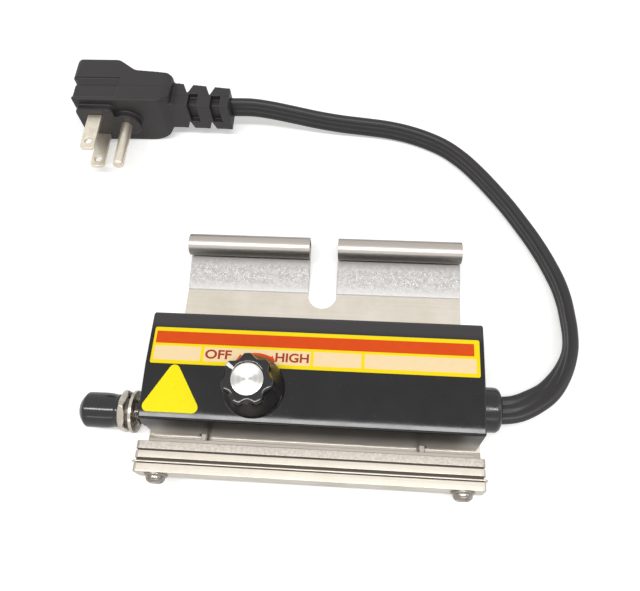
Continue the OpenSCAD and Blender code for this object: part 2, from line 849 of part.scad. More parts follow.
module control_cam() {
    rim_flat = 1.2;
    color("#e8e4da")
        on_control()
            translate([0, 0, z_plate - cam_play - cam_t])
                difference() {
                    cylinder(d = cam_d, h = cam_t);
                    translate([0, 0, -past])
                        cylinder(d = shaft_d + 2 * shaft_play, h = cam_t + 2 * past);
                    // Flat on the rim that opens the contacts at the off position
                    translate([cam_d / 2 - rim_flat, -cam_d / 2, -past])
                        cube([cam_d, cam_d, cam_t + 2 * past]);
                }
}

module control_shaft() {
    tail = z_plate - cam_pocket_h;
    color("#c8c4bb")
        on_control() {
            translate([0, 0, z_plate - cam_play - cam_t])
                cylinder(d = shaft_d, h = shaft_top - z_plate + cam_play + cam_t);
            translate([0, 0, tail - shaft_tail_l])
                cylinder(d = shaft_tail_d, h = shaft_tail_l + cam_play + eps);
        }
}

module panel_washer() {
    color("#8e8a82")
        on_control()
            ring(panel_nut_af, bushing_d + 2 * hole_play, panel_washer_t);
}

module panel_nut() {
    color("#c9c5ba")
        on_control()
            translate([0, 0, panel_washer_t])
                hex_nut(panel_nut_af, bushing_d + 2 * hole_play, panel_nut_t);
}

// Knob: round skirt, lobed grip, hollow below for the nut
set_screw_l = 3.6;
set_screw_z = bushing_room_top + set_screw_d * 0.8;
inlay_proud = 0.1;
recess_d = inlay_d + 2 * hole_play;
recess_h = inlay_t - inlay_proud;
pointer_edge = 0.3;
pointer_from = recess_d / 2 + pointer_edge;
pointer_l = knob_top_d / 2 - pointer_from - pointer_edge;
pointer_depth = 0.3;
// The flutes lean out and so fade towards the skirt
flute_lean = 15.5;
skirt_edge = 1;
skirt_bevel = 0.3;
cone_out = 0.9;
cone_h = 3.5;
rim_bevel = 0.5;

module knob_flutes() {
    for (k = [0:lobes - 1])
        rotate([0, 0, pointer_deg + (k + 0.5) * 360 / lobes])
            translate([knob_top_d / 2 + flute_r - flute_depth, 0, knob_h])
                rotate([0, 180 - flute_lean, 0])
                    translate([0, 0, -flute_r])
                        cylinder(r = flute_r, h = knob_h / cos(flute_lean) + flute_r);
}

module knob() {
    shoulder = knob_gap + skirt_h;
    color("#2a2829")
        on_control()
            difference() {
                rotate_extrude()
                    polygon([[0, knob_gap], [knob_d / 2, knob_gap], [knob_d / 2, knob_gap + skirt_edge],
                             [knob_d / 2 - skirt_bevel, shoulder],
                             [knob_top_d / 2 + cone_out, shoulder + cone_h],
                             [knob_top_d / 2, knob_h - rim_bevel],
                             [knob_top_d / 2 - rim_bevel, knob_h], [0, knob_h]]);
                knob_flutes();
                cylinder(d = knob_cavity_d, h = knob_cavity_top);
                cylinder(d = bushing_d + 2 * nut_room, h = bushing_room_top);
                cylinder(d = shaft_d + 2 * shaft_play, h = shaft_top + inlay_proud);
                translate([0, 0, knob_h - recess_h])
                    cylinder(d = recess_d, h = recess_h + past);
                rotate([0, 0, pointer_deg])
                    translate([pointer_from, -pointer_w / 2, knob_h - pointer_depth])
                        cube([pointer_l, pointer_w, pointer_depth + past]);
                rotate([0, 0, pointer_deg + 180])
                    translate([0, 0, set_screw_z])
                        rotate([0, 90, 0])
                            cylinder(d = set_screw_d + 2 * hole_play, h = knob_d);
            }
}

module knob_inlay() {
    color("#e6e6e4")
        on_control()
            translate([0, 0, knob_h - recess_h])
                cylinder(d = inlay_d, h = inlay_t);
}

module knob_pointer() {
    color("white")
        on_control()
            rotate([0, 0, pointer_deg])
                translate([pointer_from, -pointer_w / 2, knob_h - pointer_depth])
                    cube([pointer_l, pointer_w, pointer_depth]);
}

module knob_set_screw() {
    color("#3a3a3c")
        on_control()
            rotate([0, 0, pointer_deg + 180])
                translate([shaft_d / 2 + shaft_play, 0, set_screw_z])
                    rotate([0, 90, 0])
                        difference() {
                            cylinder(d = set_screw_d, h = set_screw_l);
                            // Hexagon socket
                            translate([0, 0, set_screw_l / 2])
                                hex(set_screw_d / 2, set_screw_l);
                        }
}

// Side stud: a threaded rod through the left end, its stack and its slip-on cap
module side_stud() {
    x_inner = -x_end + cover_t + stud_inside;
    length = x_inner - stud_tip - stud_chamfer;
    color("#a7a39b")
        on_stud(x_inner) {
            cylinder(d = stud_d, h = length);
            translate([0, 0, length])
                cylinder(d1 = stud_d, d2 = stud_d - 2 * stud_chamfer, h = stud_chamfer);
        }
}

stud_hole = stud_d + 2 * hole_play;

module stud_collar() {
    color("#9b968d")
        on_stud(x_collar)
            ring(collar_d, stud_hole, collar_l);
}

module stud_washer() {
    color("#bdb8ae")
        on_stud(x_washer)
            ring(washer_d, stud_hole, washer_t);
}

module stud_lock_washer() {
    split_w = 1.2;
    split_deg = 35;
    color("#4c4843")
        on_stud(x_lock)
            difference() {
                ring(lock_d, stud_hole, lock_t);
                // Split of the spring washer
                translate([0, 0, -past])
                    rotate([0, 0, split_deg])
                        translate([0, -split_w / 2, 0])
                            cube([lock_d, split_w, lock_t + 2 * past]);
            }
}

module stud_nut() {
    color("#d8d2c6")
        on_stud(x_stud_nut)
            hex_nut(stud_nut_af, stud_hole, stud_nut_t);
}

module stud_cap() {
    neck = 2.4;
    flare = 2.4;
    flare_r = 2;
    mouth_r = 0.4;
    bore = stud_d / 2 + cap_play;
    end_r = cap_d / 4;
    color("#1f1e20")
        on_stud(x_cap)
            rotate_extrude()
                polygon(rounded([[bore, 0], [cap_mouth_d / 2, 0], [cap_mouth_d / 2, neck],
                    [cap_d / 2, neck + flare], [cap_d / 2, cap_l], [0, cap_l],
                    [0, cap_l - cap_end_t], [bore, cap_l - cap_end_t]],
                    [0, mouth_r, flare_r, flare_r, end_r, 0, 0, 0]));
}

// Inside: terminals, thermal cut-out, splice, earth point and wires
module tab_sleeves() {
    color("#b03a2e")
        on_control()
            for (sy = [-1, 1])
                translate([case_w / 2 + sleeve_gap, sy * tab_y, tab_z])
                    difference() {
                        translate([0, -tab_w / 2 - sleeve_wall, -tab_t / 2 - sleeve_wall])
                            cube([sleeve_l, tab_w + 2 * sleeve_wall, tab_t + 2 * sleeve_wall]);
                        translate([-past, -tab_w / 2 - eps, -tab_t / 2 - eps])
                            cube([tab_l + past, tab_w + 2 * eps, tab_t + 2 * eps]);
                    }
}

// Middle of a sleeve's outer end, in the part's own frame
function sleeve_spot(sy) =
    [knob_x + sleeve_end + wire_seat,
     y_knob + sy * tab_y * cos(slope_deg) - tab_z * sin(slope_deg),
     z_knob + sy * tab_y * sin(slope_deg) + tab_z * cos(slope_deg)];

cutout_z = z_base + cutout_d / 2 + wire_seat;
splice_z = z_base + splice_d / 2 + wire_seat;

module thermal_cutout() {
    color("#c9b98f")
        translate([cutout_at[0] - cutout_l / 2, cutout_at[1], cutout_z])
            rotate([0, 90, 0])
                cylinder(d = cutout_d, h = cutout_l);
}

// Closed-end crimp cap, its mouth to the right
module splice_cap() {
    color("#e4dcc8")
        translate([splice_at[0], splice_at[1], splice_z])
            rotate([0, 90, 0]) {
                cylinder(d = splice_d, h = splice_l);
                sphere(d = splice_d);
            }
}

module earth_stud() {
    stud_over = 1.5;
    color("#b9b4aa")
        translate([earth_at[0], earth_at[1], z_base])
            cylinder(d = earth_stud_d, h = earth_lug_t + earth_nut_t + stud_over);
}

lug_l = 9;
lug_barrel_l = 4;
lug_barrel_w = wire_d + 0.8;

module earth_lug() {
    bore = earth_stud_d + 2 * hole_play;
    color("#d9c27a")
        translate([earth_at[0], earth_at[1], z_base])
            difference() {
                union() {
                    cylinder(d = 2 * earth_stud_d, h = earth_lug_t);
                    translate([0, -lug_barrel_w / 2, 0])
                        cube([lug_l, lug_barrel_w, earth_lug_t]);
                    translate([lug_l - lug_barrel_l, -lug_barrel_w / 2, 0])
                        cube([lug_barrel_l, lug_barrel_w, lug_barrel_w]);
                }
                translate([0, 0, -past])
                    cylinder(d = bore, h = earth_lug_t + 2 * past);
            }
}

module earth_nut() {
    color("#c9c5ba")
        translate([earth_at[0], earth_at[1], z_base + earth_lug_t])
            hex_nut(earth_nut_af, earth_stud_d + 2 * hole_play, earth_nut_t);
}

core_pitch = cord_w / 3;
// Places in the splice cap's mouth and on the cut-out's ends
splice_mouth = [splice_at[0] + splice_l + wire_seat, splice_at[1], splice_z];
cutout_left = [cutout_at[0] - cutout_l / 2 - wire_seat, cutout_at[1], cutout_z];
cutout_right = [cutout_at[0] + cutout_l / 2 + wire_seat, cutout_at[1], cutout_z];
lug_mouth = [earth_at[0] + lug_l + wire_seat, earth_at[1], z_base + lug_barrel_w / 2];
core_x = cord_inner_x - wire_seat;

module lead_live() {
    to = sleeve_spot(-1);
    dip = wire_bend / 4;
    color("#26262a")
        wire([[core_x, gland_y - core_pitch, gland_z],
              [core_x - 3 * wire_bend, gland_y - core_pitch, gland_z - dip],
              [(core_x + to[0]) / 2, to[1], to[2] - dip], to + [2 * wire_bend, 0, 0], to]);
}

module lead_load() {
    from = sleeve_spot(1);
    color("#8b2b22")
        wire([from, from + wire_bend * [1.75, 0.25, -0.25], from + wire_bend * [2.75, 1.5, -1.5],
              [from[0] + 2 * wire_bend, cutout_at[1], cutout_z + wire_bend / 4],
              cutout_right + wire_bend * [1.25, 0, 0], cutout_right]);
}

module lead_neutral() {
    at = splice_mouth + [0, 0, splice_half];
    color("#e2e0da")
        wire([[core_x, gland_y, gland_z], [core_x - wire_bend, gland_y, gland_z],
              at + wire_bend * [2, -0.5, 0.5], at + wire_bend * [0.75, 0, 0], at]);
}

module lead_earth() {
    color("#3d7a3a")
        wire([[core_x, gland_y + core_pitch, gland_z],
              [core_x - wire_bend, gland_y + core_pitch + wire_bend / 4, gland_z - wire_bend / 4],
              lug_mouth + wire_bend * [1.5, -2, 1], lug_mouth + wire_bend * [1, -0.25, 0], lug_mouth]);
}

// Sleeved leads from the wound card, under the bars and through the flange and the foot
module heater_leads() {
    y_tail = y_element - element_t / 2;
    at = splice_mouth - [0, 0, splice_half];
    color("#7d6a3c") {
        wire([at, at + wire_bend * [0.6, 0, 0], at + wire_bend * [1, -1, 0],
              [lead_x, y_front + 2 * wire_bend, lead_z], [lead_x, y_front + wire_bend / 2, lead_z],
              [lead_x, y_flange, lead_z], [lead_x, y_rear_bar - wire_bend / 2, lead_z],
              [lead_x, y_tail, lead_z]]);
        wire([cutout_left, cutout_left - wire_bend * [0.75, 0, 0], cutout_left - wire_bend * [1.75, 0.25, 0],
              [wire_bend - lead_x, y_front + 4 * wire_bend, lead_z],
              [-lead_x, y_front + 2 * wire_bend, lead_z], [-lead_x, y_front + wire_bend / 2, lead_z],
              [-lead_x, y_flange, lead_z], [-lead_x, y_rear_bar - wire_bend / 2, lead_z],
              [-lead_x, y_tail, lead_z]]);
    }
}

// Gland in two halves that clamp the flat lead
module gland_whole() {
    jaw_end = cover_t + gland_jaw_l;
    jaw_taper = 0.8;
    translate([x_end, gland_y, gland_z])
        rotate([0, 90, 0])
            rotate_extrude()
                polygon(rounded([[0, -jaw_end], [gland_neck_d / 2 - jaw_taper, -jaw_end],
                    [gland_neck_d / 2, -cover_t], [gland_neck_d / 2, 0], [gland_d / 2, 0],
                    [gland_d / 2, gland_l], [0, gland_l]], [0, 0, 0, 0, 0, gland_round_r, 0]));
}

module gland_half(low, high) {
    far = x_end + gland_l + past;
    near = x_end - cover_t - gland_jaw_l - past;
    intersection() {
        difference() {
            gland_whole();
            translate([near, gland_y - cord_w / 2 - cord_play, gland_z - cord_t / 2 - cord_play])
                cube([far - near, cord_w + 2 * cord_play, cord_t + 2 * cord_play]);
        }
        translate([near, gland_y - gland_d, gland_z + low])
            cube([far - near, 2 * gland_d, high - low]);
    }
}

gland_split = -cord_t / 2 - cord_play;

module gland_body() {
    color("#232224")
        gland_half(gland_split, gland_d);
}

module gland_clamp() {
    color("#29282a")
        gland_half(-gland_d, gland_split);
}

// Flat lead with round edges
function eased(t) = t * t * (3 - 2 * t);
cord_outline = [for (a = [-75:30:285])
    if (a < 270)
        [(cos(a) > 0 ? 1 : -1) * (cord_w - cord_t) / 2 + cord_t / 2 * cos(a), cord_t / 2 * sin(a)]];
cord_turns = [for (i = [0:len(cord_route) - 1])
    90 * eased(min(max((i - twist_from) / (twist_to - twist_from), 0), 1))];

module power_cord() {
    color("#3f3c3d")
        sweep(cord_route, cord_outline, cord_turns);
}

// Plug: a moulded body with a stepped back, on its edge
module plug_body() {
    back_grip = y_plug_face + plug_grip_t;
    back_neck = y_plug_face + plug_neck_t;
    grip_l = 20;
    grip_r = 3;
    step_l = 8;
    x_step = x_plug_left + grip_l;
    rim_t = 10.2;
    y_rim = back_grip - rim_t;
    lip_t = 1.4;
    y_lip = y_plug_face + lip_t;
    waist_in = 2.3;
    waist_depth = 1.4;
    waist_l = grip_l + 2;
    neck_in = 1.4;
    shoulder = 4;
    color("#393638")
        union() {
            difference() {
                intersection() {
                    linear_extrude(plug_h)
                        polygon(rounded([[x_plug_left + waist_in, y_plug_face],
                            [x_plug_right - shoulder, y_plug_face],
                            [x_plug_right, y_plug_face + shoulder],
                            [x_plug_right, back_neck - neck_in], [x_step + step_l, back_neck],
                            [x_step, back_grip], [x_plug_left, back_grip], [x_plug_left, y_rim],
                            [x_plug_left + waist_in, y_rim - waist_in / 2]],
                            [0.8, 2, 2, 2.4, 5, 5, 3, 1, 1]));
                    forward(back_grip + past, plug_grip_t + 2 * past)
                        polygon(rounded(box_outline(x_plug_left, 0, x_plug_right, plug_h),
                            [grip_r, plug_corner_r, plug_corner_r, grip_r]));
                }
                // Waist for the fingers between the thick rim and the thin lip
                for (z = [-past, plug_h - waist_depth])
                    translate([x_plug_left - past, y_lip, z])
                        cube([waist_l + past, y_rim - y_lip, waist_depth + past]);
            }
            forward(y_lip, lip_t + block_out)
                polygon(round_box(x_blades - block_w / 2, plug_z - block_h / 2,
                    x_blades + block_w / 2, plug_z + block_h / 2, block_r));
            translate([x_pin, y_lip, plug_z])
                rotate([90, 0, 0])
                    cylinder(d = boss_d, h = lip_t + block_out);
        }
}

module plug_relief() {
    rib_l = [for (r = relief_ribs) r[0]];
    core_t = relief_t / 2 - relief_waist;
    core_h = relief_ribs[0][1] / 2 - relief_waist;
    color("#353234")
        union() {
            translate([plug_x, plug_y, plug_z])
                rotate([90, 0, -90])
                    linear_extrude(relief_l)
                        polygon(round_box(-core_t, -core_h, core_t, core_h, relief_waist));
            for (k = [0:len(relief_ribs) - 1]) {
                start = plug_x - (k == 0 ? 0 : k == 1 ? rib_l[0] + relief_groove
                    : rib_l[0] + rib_l[1] + 2 * relief_groove);
                h = relief_ribs[k][1];
                translate([start, plug_y, plug_z])
                    rotate([90, 0, -90])
                        linear_extrude(rib_l[k])
                            polygon(round_box(-relief_t / 2, -h / 2, relief_t / 2, h / 2, relief_r));
            }
        }
}

module plug_blades() {
    tip_r = 1.6;
    hole_in = 4.2;
    color("#cfc4b0")
        for (sz = [-1, 1])
            translate([x_blades, y_plug_front, plug_z + sz * blade_pitch / 2 - blade_t / 2])
                difference() {
                    linear_extrude(blade_t)
                        polygon(rounded([[-blade_w / 2, 0], [-blade_w / 2, -blade_l],
                            [blade_w / 2, -blade_l], [blade_w / 2, 0]], [0, tip_r, tip_r, 0]));
                    translate([0, -blade_l + hole_in, -past])
                        cylinder(d = blade_hole_d, h = blade_t + 2 * past);
                }
}

module plug_pin() {
    tip_l = pin_d / 3;
    color("#d8cfbd")
        translate([x_pin, y_plug_front, plug_z])
            rotate([90, 0, 0]) {
                cylinder(d = pin_d, h = pin_l - tip_l);
                translate([0, 0, pin_l - tip_l])
                    cylinder(d1 = pin_d, d2 = pin_d / 2, h = tip_l);
            }
}

hook_sheet();
cover();
cover_rivets();
label_plate();
corner_sticker();
rear_bar();
rear_mica();
heat_bar();
heating_element();
heat_shim();
front_mica();
front_bar();
bar_screws();
control_case();
control_plate();
control_tabs();
control_cam();
control_shaft();
panel_washer();
panel_nut();
knob();
knob_inlay();
knob_pointer();
knob_set_screw();
side_stud();
stud_collar();
stud_washer();
stud_lock_washer();
stud_nut();
stud_cap();
tab_sleeves();
thermal_cutout();
splice_cap();
earth_stud();
earth_lug();
earth_nut();
lead_live();
lead_load();
lead_neutral();
lead_earth();
heater_leads();
gland_body();
gland_clamp();
power_cord();
plug_body();
plug_relief();
plug_blades();
plug_pin();
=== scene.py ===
import math

import bmesh
import bpy
from mathutils import Matrix, Vector


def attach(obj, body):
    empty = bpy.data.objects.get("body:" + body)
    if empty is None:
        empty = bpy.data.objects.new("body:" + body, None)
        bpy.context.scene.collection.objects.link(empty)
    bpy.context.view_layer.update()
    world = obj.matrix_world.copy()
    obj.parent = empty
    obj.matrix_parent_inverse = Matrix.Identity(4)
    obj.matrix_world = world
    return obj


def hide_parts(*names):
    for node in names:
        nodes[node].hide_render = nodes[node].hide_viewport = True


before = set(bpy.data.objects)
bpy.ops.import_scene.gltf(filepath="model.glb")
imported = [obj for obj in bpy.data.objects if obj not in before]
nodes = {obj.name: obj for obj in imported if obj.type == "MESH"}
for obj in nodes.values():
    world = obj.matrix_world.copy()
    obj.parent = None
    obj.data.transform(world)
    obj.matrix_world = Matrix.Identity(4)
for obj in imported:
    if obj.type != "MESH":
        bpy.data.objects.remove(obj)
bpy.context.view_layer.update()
mm = 0.001
weldMm = 0.001  # points nearer than this become one
noiseSpan = (0.3, 0.7)  # nearly all of a noise's values lie between these
scene = bpy.context.scene
scene.view_settings.view_transform = "Standard"
print("frame loaded,", len(nodes), "nodes")


def inScene(name, data):
    made = bpy.data.objects.new(name, data)
    scene.collection.objects.link(made)
    return made


def hexColour(code):
    parts = [int(code[i:i + 2], 16) / 255 for i in (1, 3, 5)]
    linear = [p / 12.92 if p <= 0.04045 else ((p + 0.055) / 1.055) ** 2.4 for p in parts]
    return (*linear, 1.0)


def feed(node, feeds):
    # inputs by name, or listed in their order: each gets a node, one output of it, a hex colour or a value
    if not isinstance(feeds, dict):
        feeds = dict(zip([i for i, s in enumerate(node.inputs) if s.enabled], feeds))
    for socket, value in feeds.items():
        if isinstance(value, str):
            value = hexColour(value)
        if isinstance(value, bpy.types.Node):
            value = next(output for output in value.outputs if output.enabled)
        if isinstance(value, bpy.types.NodeSocket):
            node.id_data.links.new(value, node.inputs[socket])
        else:
            node.inputs[socket].default_value = value


def addNode(tree, kind, feeds=(), **settings):
    made = tree.nodes.new("ShaderNode" + kind)
    for name, value in settings.items():
        setattr(made, name, value)
    feed(made, feeds)
    return made


def freshTree(owner):
    owner.use_nodes = True
    owner.node_tree.nodes.clear()
    return owner.node_tree


def startMaterial(name, finish):
    material = bpy.data.materials.new(name)
    tree = freshTree(material)
    shader = addNode(tree, "BsdfPrincipled", finish)
    addNode(tree, "OutputMaterial", {"Surface": shader})
    return material, tree, shader, addNode(tree, "TexCoord").outputs["Object"]


def perMetre(sizeInMm):  # how many of a pattern's cells fit in a metre
    return 1000.0 / sizeInMm


def onCircle(middle, radius, degrees):
    turn = math.radians(degrees)
    return (middle[0] + radius * math.cos(turn), middle[1] + radius * math.sin(turn))


def arcPoints(middle, radius, start, end, steps):
    return [onCircle(middle, radius, start + (end - start) * k / steps) for k in range(steps + 1)]


def roundedPath(corners, radii, steps, closed=False):
    # corners in mm, each rounded by its radius
    path = []
    count = len(corners)
    for i, corner in enumerate(corners):
        here = Vector(corner)
        if radii[i] <= 0 or (not closed and i in (0, count - 1)):
            path.append(tuple(here))
            continue
        back = Vector(corners[i - 1]) - here
        ahead = Vector(corners[(i + 1) % count]) - here
        half = back.angle(ahead) / 2
        reach = radii[i] / math.tan(half)
        inward = (back.normalized() + ahead.normalized()).normalized()
        middle = here + inward * radii[i] / math.sin(half)
        start = here + back.normalized() * reach - middle
        turn = (here + ahead.normalized() * reach - middle).angle_signed(start)
        for k in range(steps + 1):
            spun = start.copy()
            spun.rotate(Matrix.Rotation(turn * k / steps, 2))
            path.append(tuple(middle + spun))
    return path


def boxCorners(x0, y0, x1, y1):
    return [(x0, y0), (x1, y0), (x1, y1), (x0, y1)]


def prism(outline, axis, low, high):
    # outline in the two other axes, drawn out along x, y or z
    def place(p, depth):
        return {"x": (depth, p[0], p[1]), "y": (p[0], depth, p[1]), "z": (p[0], p[1], depth)}[axis]
    count = len(outline)
    points = [place(p, low) for p in outline] + [place(p, high) for p in outline]
    faces = [list(range(count))[::-1], list(range(count, 2 * count))]
    faces += [[i, (i + 1) % count, count + (i + 1) % count, count + i] for i in range(count)]
    return points, faces


def spin(profile, steps=96, shape=None):
    # profile of (radius, height) pairs turned about z; shape changes a radius by angle and row
    points, faces, rows = [], [], []
    for row, (radius, height) in enumerate(profile):
        if radius == 0:
            rows.append([len(points)] * steps)
            points.append((0, 0, height))
            continue
        rows.append(list(range(len(points), len(points) + steps)))
        for k in range(steps):
            angle = 2 * math.pi * k / steps
            r = shape(radius, angle, row) if shape else radius
            points.append((r * math.cos(angle), r * math.sin(angle), height))
    for low, high in zip(rows, rows[1:]):
        for k in range(steps):
            n = (k + 1) % steps
            face = [low[k], low[n], high[n], high[k]]
            faces.append([v for i, v in enumerate(face) if v not in face[:i]])
    return points, [f for f in faces if len(f) > 2]


def tubeSkin(rings, wrap=True):
    # rings of points skinned one to the next, with both ends closed; unwrapped, the rings stay open
    points = [p for ring in rings for p in ring]
    count = len(rings[0])
    faces = []
    for r in range(len(rings) - 1):
        for k in range(count if wrap else count - 1):
            n = (k + 1) % count
            faces.append([r * count + k, r * count + n, (r + 1) * count + n, (r + 1) * count + k])
    faces.append(list(range(count))[::-1])
    faces.append(list(range(len(points) - count, len(points))))
    return points, faces


def joinSolids(solids):
    points, faces = [], []
    for more, skin in solids:
        faces += [[i + len(points) for i in f] for f in skin]
        points += more
    return points, faces


def solidOf(mesh, scale=1):
    return [tuple(v.co / scale) for v in mesh.vertices], [list(f.vertices) for f in mesh.polygons]


def meshFrom(name, solid, scale=mm, weld=False):
    mesh = bpy.data.meshes.new(name)
    mesh.from_pydata([[c * scale for c in p] for p in solid[0]], [], solid[1])
    shaped = bmesh.new()
    shaped.from_mesh(mesh)
    if weld:
        bmesh.ops.remove_doubles(shaped, verts=shaped.verts, dist=scale * weldMm)
    bmesh.ops.recalc_face_normals(shaped, faces=shaped.faces)
    shaped.to_mesh(mesh)
    shaped.free()
    return mesh


def addModifier(holder, kind, **settings):
    made = holder.modifiers.new(kind.lower(), kind)
    for name, value in settings.items():
        setattr(made, name, value)


def evaluated(holder):
    graph = bpy.context.evaluated_depsgraph_get()
    mesh = bpy.data.meshes.new_from_object(holder.evaluated_get(graph))
    bpy.data.objects.remove(holder)
    return mesh


def addPiece(name, mesh, finish, body, stands=(), place=None, crease=38):
    mesh.shade_smooth()
    mesh.set_sharp_from_angle(angle=math.radians(crease))
    holder = inScene(name, mesh)
    addModifier(holder, "WEIGHTED_NORMAL", keep_sharp=True)  # flat faces stay flat beside eased edges
    mesh = evaluated(holder)
    mesh.materials.clear()
    mesh.materials.append(finish)
    piece = inScene(name, mesh)
    if place is not None:
        piece.matrix_world = place
        bpy.context.view_layer.update()
    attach(piece, body)
    if stands:
        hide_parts(*stands)
    return piece


def easedMesh(node, width, rows):
    # the node's own shape with its sharp edges broken
    flat, sharp = math.radians(0.4), math.radians(32)
    shaped = bmesh.new()
    shaped.from_mesh(nodes[node].data)
    bmesh.ops.remove_doubles(shaped, verts=shaped.verts, dist=weldMm * mm)
    bmesh.ops.dissolve_limit(shaped, angle_limit=flat, verts=shaped.verts, edges=shaped.edges)
    inside = [f for f in shaped.faces if all(len(e.link_faces) > 2 for e in f.edges)]  # where two solids meet
    bmesh.ops.delete(shaped, geom=inside, context="FACES_ONLY")
    edges = [e for e in shaped.edges if len(e.link_faces) == 2 and e.calc_face_angle(0) > sharp]
    bmesh.ops.bevel(shaped, geom=edges, offset=width * mm, offset_type="OFFSET", segments=rows,
                    profile=0.5, affect="EDGES", clamp_overlap=False)
    mesh = bpy.data.meshes.new(node + "Eased")
    shaped.to_mesh(mesh)
    shaped.free()
    loaded = mesh.attributes.get("custom_normal")  # the CAD's own normals no longer fit
    if loaded:
        mesh.attributes.remove(loaded)
    return mesh


def easedPiece(name, node, width, rows, finish, slotName, crease=38):
    return addPiece(name, easedMesh(node, width, rows), finish, "heater", [node], crease=crease)


def carved(name, solid, cuts, scale=mm, sheet=None):
    # a solid, or a skin made a sheet of that thickness, with each cut taken out of it in turn
    holder = inScene(name, meshFrom(name, solid, scale, weld=True))
    if sheet:
        addModifier(holder, "SOLIDIFY", thickness=sheet * scale, offset=-1, use_even_offset=False)
    tools = [inScene(name + "Cut", meshFrom(name + "Cut", cut, scale)) for cut in cuts]
    for tool in tools:
        addModifier(holder, "BOOLEAN", object=tool, operation="DIFFERENCE", solver="EXACT")
    mesh = evaluated(holder)
    for tool in tools:
        bpy.data.objects.remove(tool)
    shaped = bmesh.new()
    shaped.from_mesh(mesh)
    bmesh.ops.remove_doubles(shaped, verts=shaped.verts, dist=scale * weldMm)  # a bend as tight as its sheet
    shaped.to_mesh(mesh)
    shaped.free()
    return mesh


def mouldedMesh(name, solids, voxel, passes, keep):
    # overlapping solids in mm fused into one skin and softened as a moulding is
    holder = inScene(name, meshFrom(name, joinSolids(solids), 1))
    addModifier(holder, "REMESH", mode="VOXEL", voxel_size=voxel)
    addModifier(holder, "SMOOTH", factor=0.5, iterations=passes)
    addModifier(holder, "DECIMATE", ratio=keep)
    mesh = evaluated(holder)
    mesh.transform(Matrix.Scale(mm, 4))
    return mesh


cameraSet = {"place": (0.0173, -0.0731, 0.2420), "right": (0.9968, 0.0639, -0.0457),
             "up": (-0.0385, 0.9045, 0.4247), "back": (0.0685, -0.4216, 0.9042),
             "lens": 36.56, "sensor": 36, "nearest": 0.005}
camera = inScene("camera", bpy.data.cameras.new("camera"))
camera.data.sensor_fit, camera.data.sensor_width = "HORIZONTAL", cameraSet["sensor"]
camera.data.lens, camera.data.clip_start = cameraSet["lens"], cameraSet["nearest"]
axes = Matrix((cameraSet["right"], cameraSet["up"], cameraSet["back"])).transposed().to_4x4()
camera.matrix_world = Matrix.Translation(cameraSet["place"]) @ axes
scene.camera = camera

lampSet = [  # a lamp's radiance is its power over pi times its area
    {"name": "overheadBox", "power": 5.0, "size": (1.0, 0.1), "place": (-0.02, -0.155, 0.80),
     "aim": (-0.02, -0.155, 0)},
    {"name": "frontStrip", "power": 0.6, "size": (0.95, 0.09), "place": (0.05, -0.62, 0.34), "aim": (0, 0, 0.015)},
    {"name": "sideLamp", "power": 0.4, "size": (0.22, 0.4), "place": (0.55, 0.02, 0.36), "aim": (0, 0, 0.015)}]
for lamp in lampSet:
    light = bpy.data.lights.new(lamp["name"], "AREA")
    light.shape, light.energy = "RECTANGLE", lamp["power"]
    light.size, light.size_y = lamp["size"]
    holder = inScene(lamp["name"], light)
    holder.location = lamp["place"]
    aim = Vector(lamp["aim"]) - Vector(lamp["place"])
    holder.rotation_euler = aim.to_track_quat("-Z", "Y").to_euler()

skySet = {"shown": "#FFFFFF", "cast": 0.3}  # white to look at and in mirrors, weaker as a light
sky = bpy.data.worlds.new("studio")
scene.world = sky
tree = freshTree(sky)
ray = addNode(tree, "LightPath").outputs
seen = addNode(tree, "Math", [ray["Is Camera Ray"], ray["Is Glossy Ray"]], operation="MAXIMUM")
seen = addNode(tree, "Math", [seen, ray["Is Transmission Ray"]], operation="MAXIMUM")
level = addNode(tree, "MapRange", [seen, 0, 1, skySet["cast"], 1])
back = addNode(tree, "Background", {"Color": skySet["shown"], "Strength": level})
addNode(tree, "OutputWorld", {"Surface": back})

floorSet = {"half": 1.5, "drop": 0.0002, "paper": "#F4F4F2", "mirrored": 0.15,
            "reach": (0.2, 0.7), "lift": (0.38, 1.0)}  # lit up further from the middle, out of the lamps' reach
half = floorSet["half"]
mesh = bpy.data.meshes.new("floor")
mesh.from_pydata([(x, y, -floorSet["drop"]) for x, y in boxCorners(-half, -half, half, half)], [], [(0, 1, 2, 3)])
floor = inScene("floor", mesh)
paper = bpy.data.materials.new("mattePaperSweep")
tree = freshTree(paper)
ray = addNode(tree, "LightPath").outputs
seen = addNode(tree, "Math", [ray["Is Glossy Ray"], ray["Is Transmission Ray"]], operation="MAXIMUM")
lift = addNode(tree, "Math", [seen, floorSet["mirrored"]], operation="MULTIPLY")
away = addNode(tree, "VectorMath", [addNode(tree, "NewGeometry").outputs["Position"]], operation="LENGTH")
far = addNode(tree, "MapRange", [away, *floorSet["reach"], *floorSet["lift"]])
lift = addNode(tree, "Math", [ray["Is Camera Ray"], far, lift], operation="MULTIPLY_ADD")
dull = addNode(tree, "BsdfDiffuse", {"Color": floorSet["paper"]})
glow = addNode(tree, "Emission", {"Strength": lift})
addNode(tree, "OutputMaterial", {"Surface": addNode(tree, "AddShader", [dull, glow])})
floor.data.materials.append(paper)
print("camera, light and floor done")

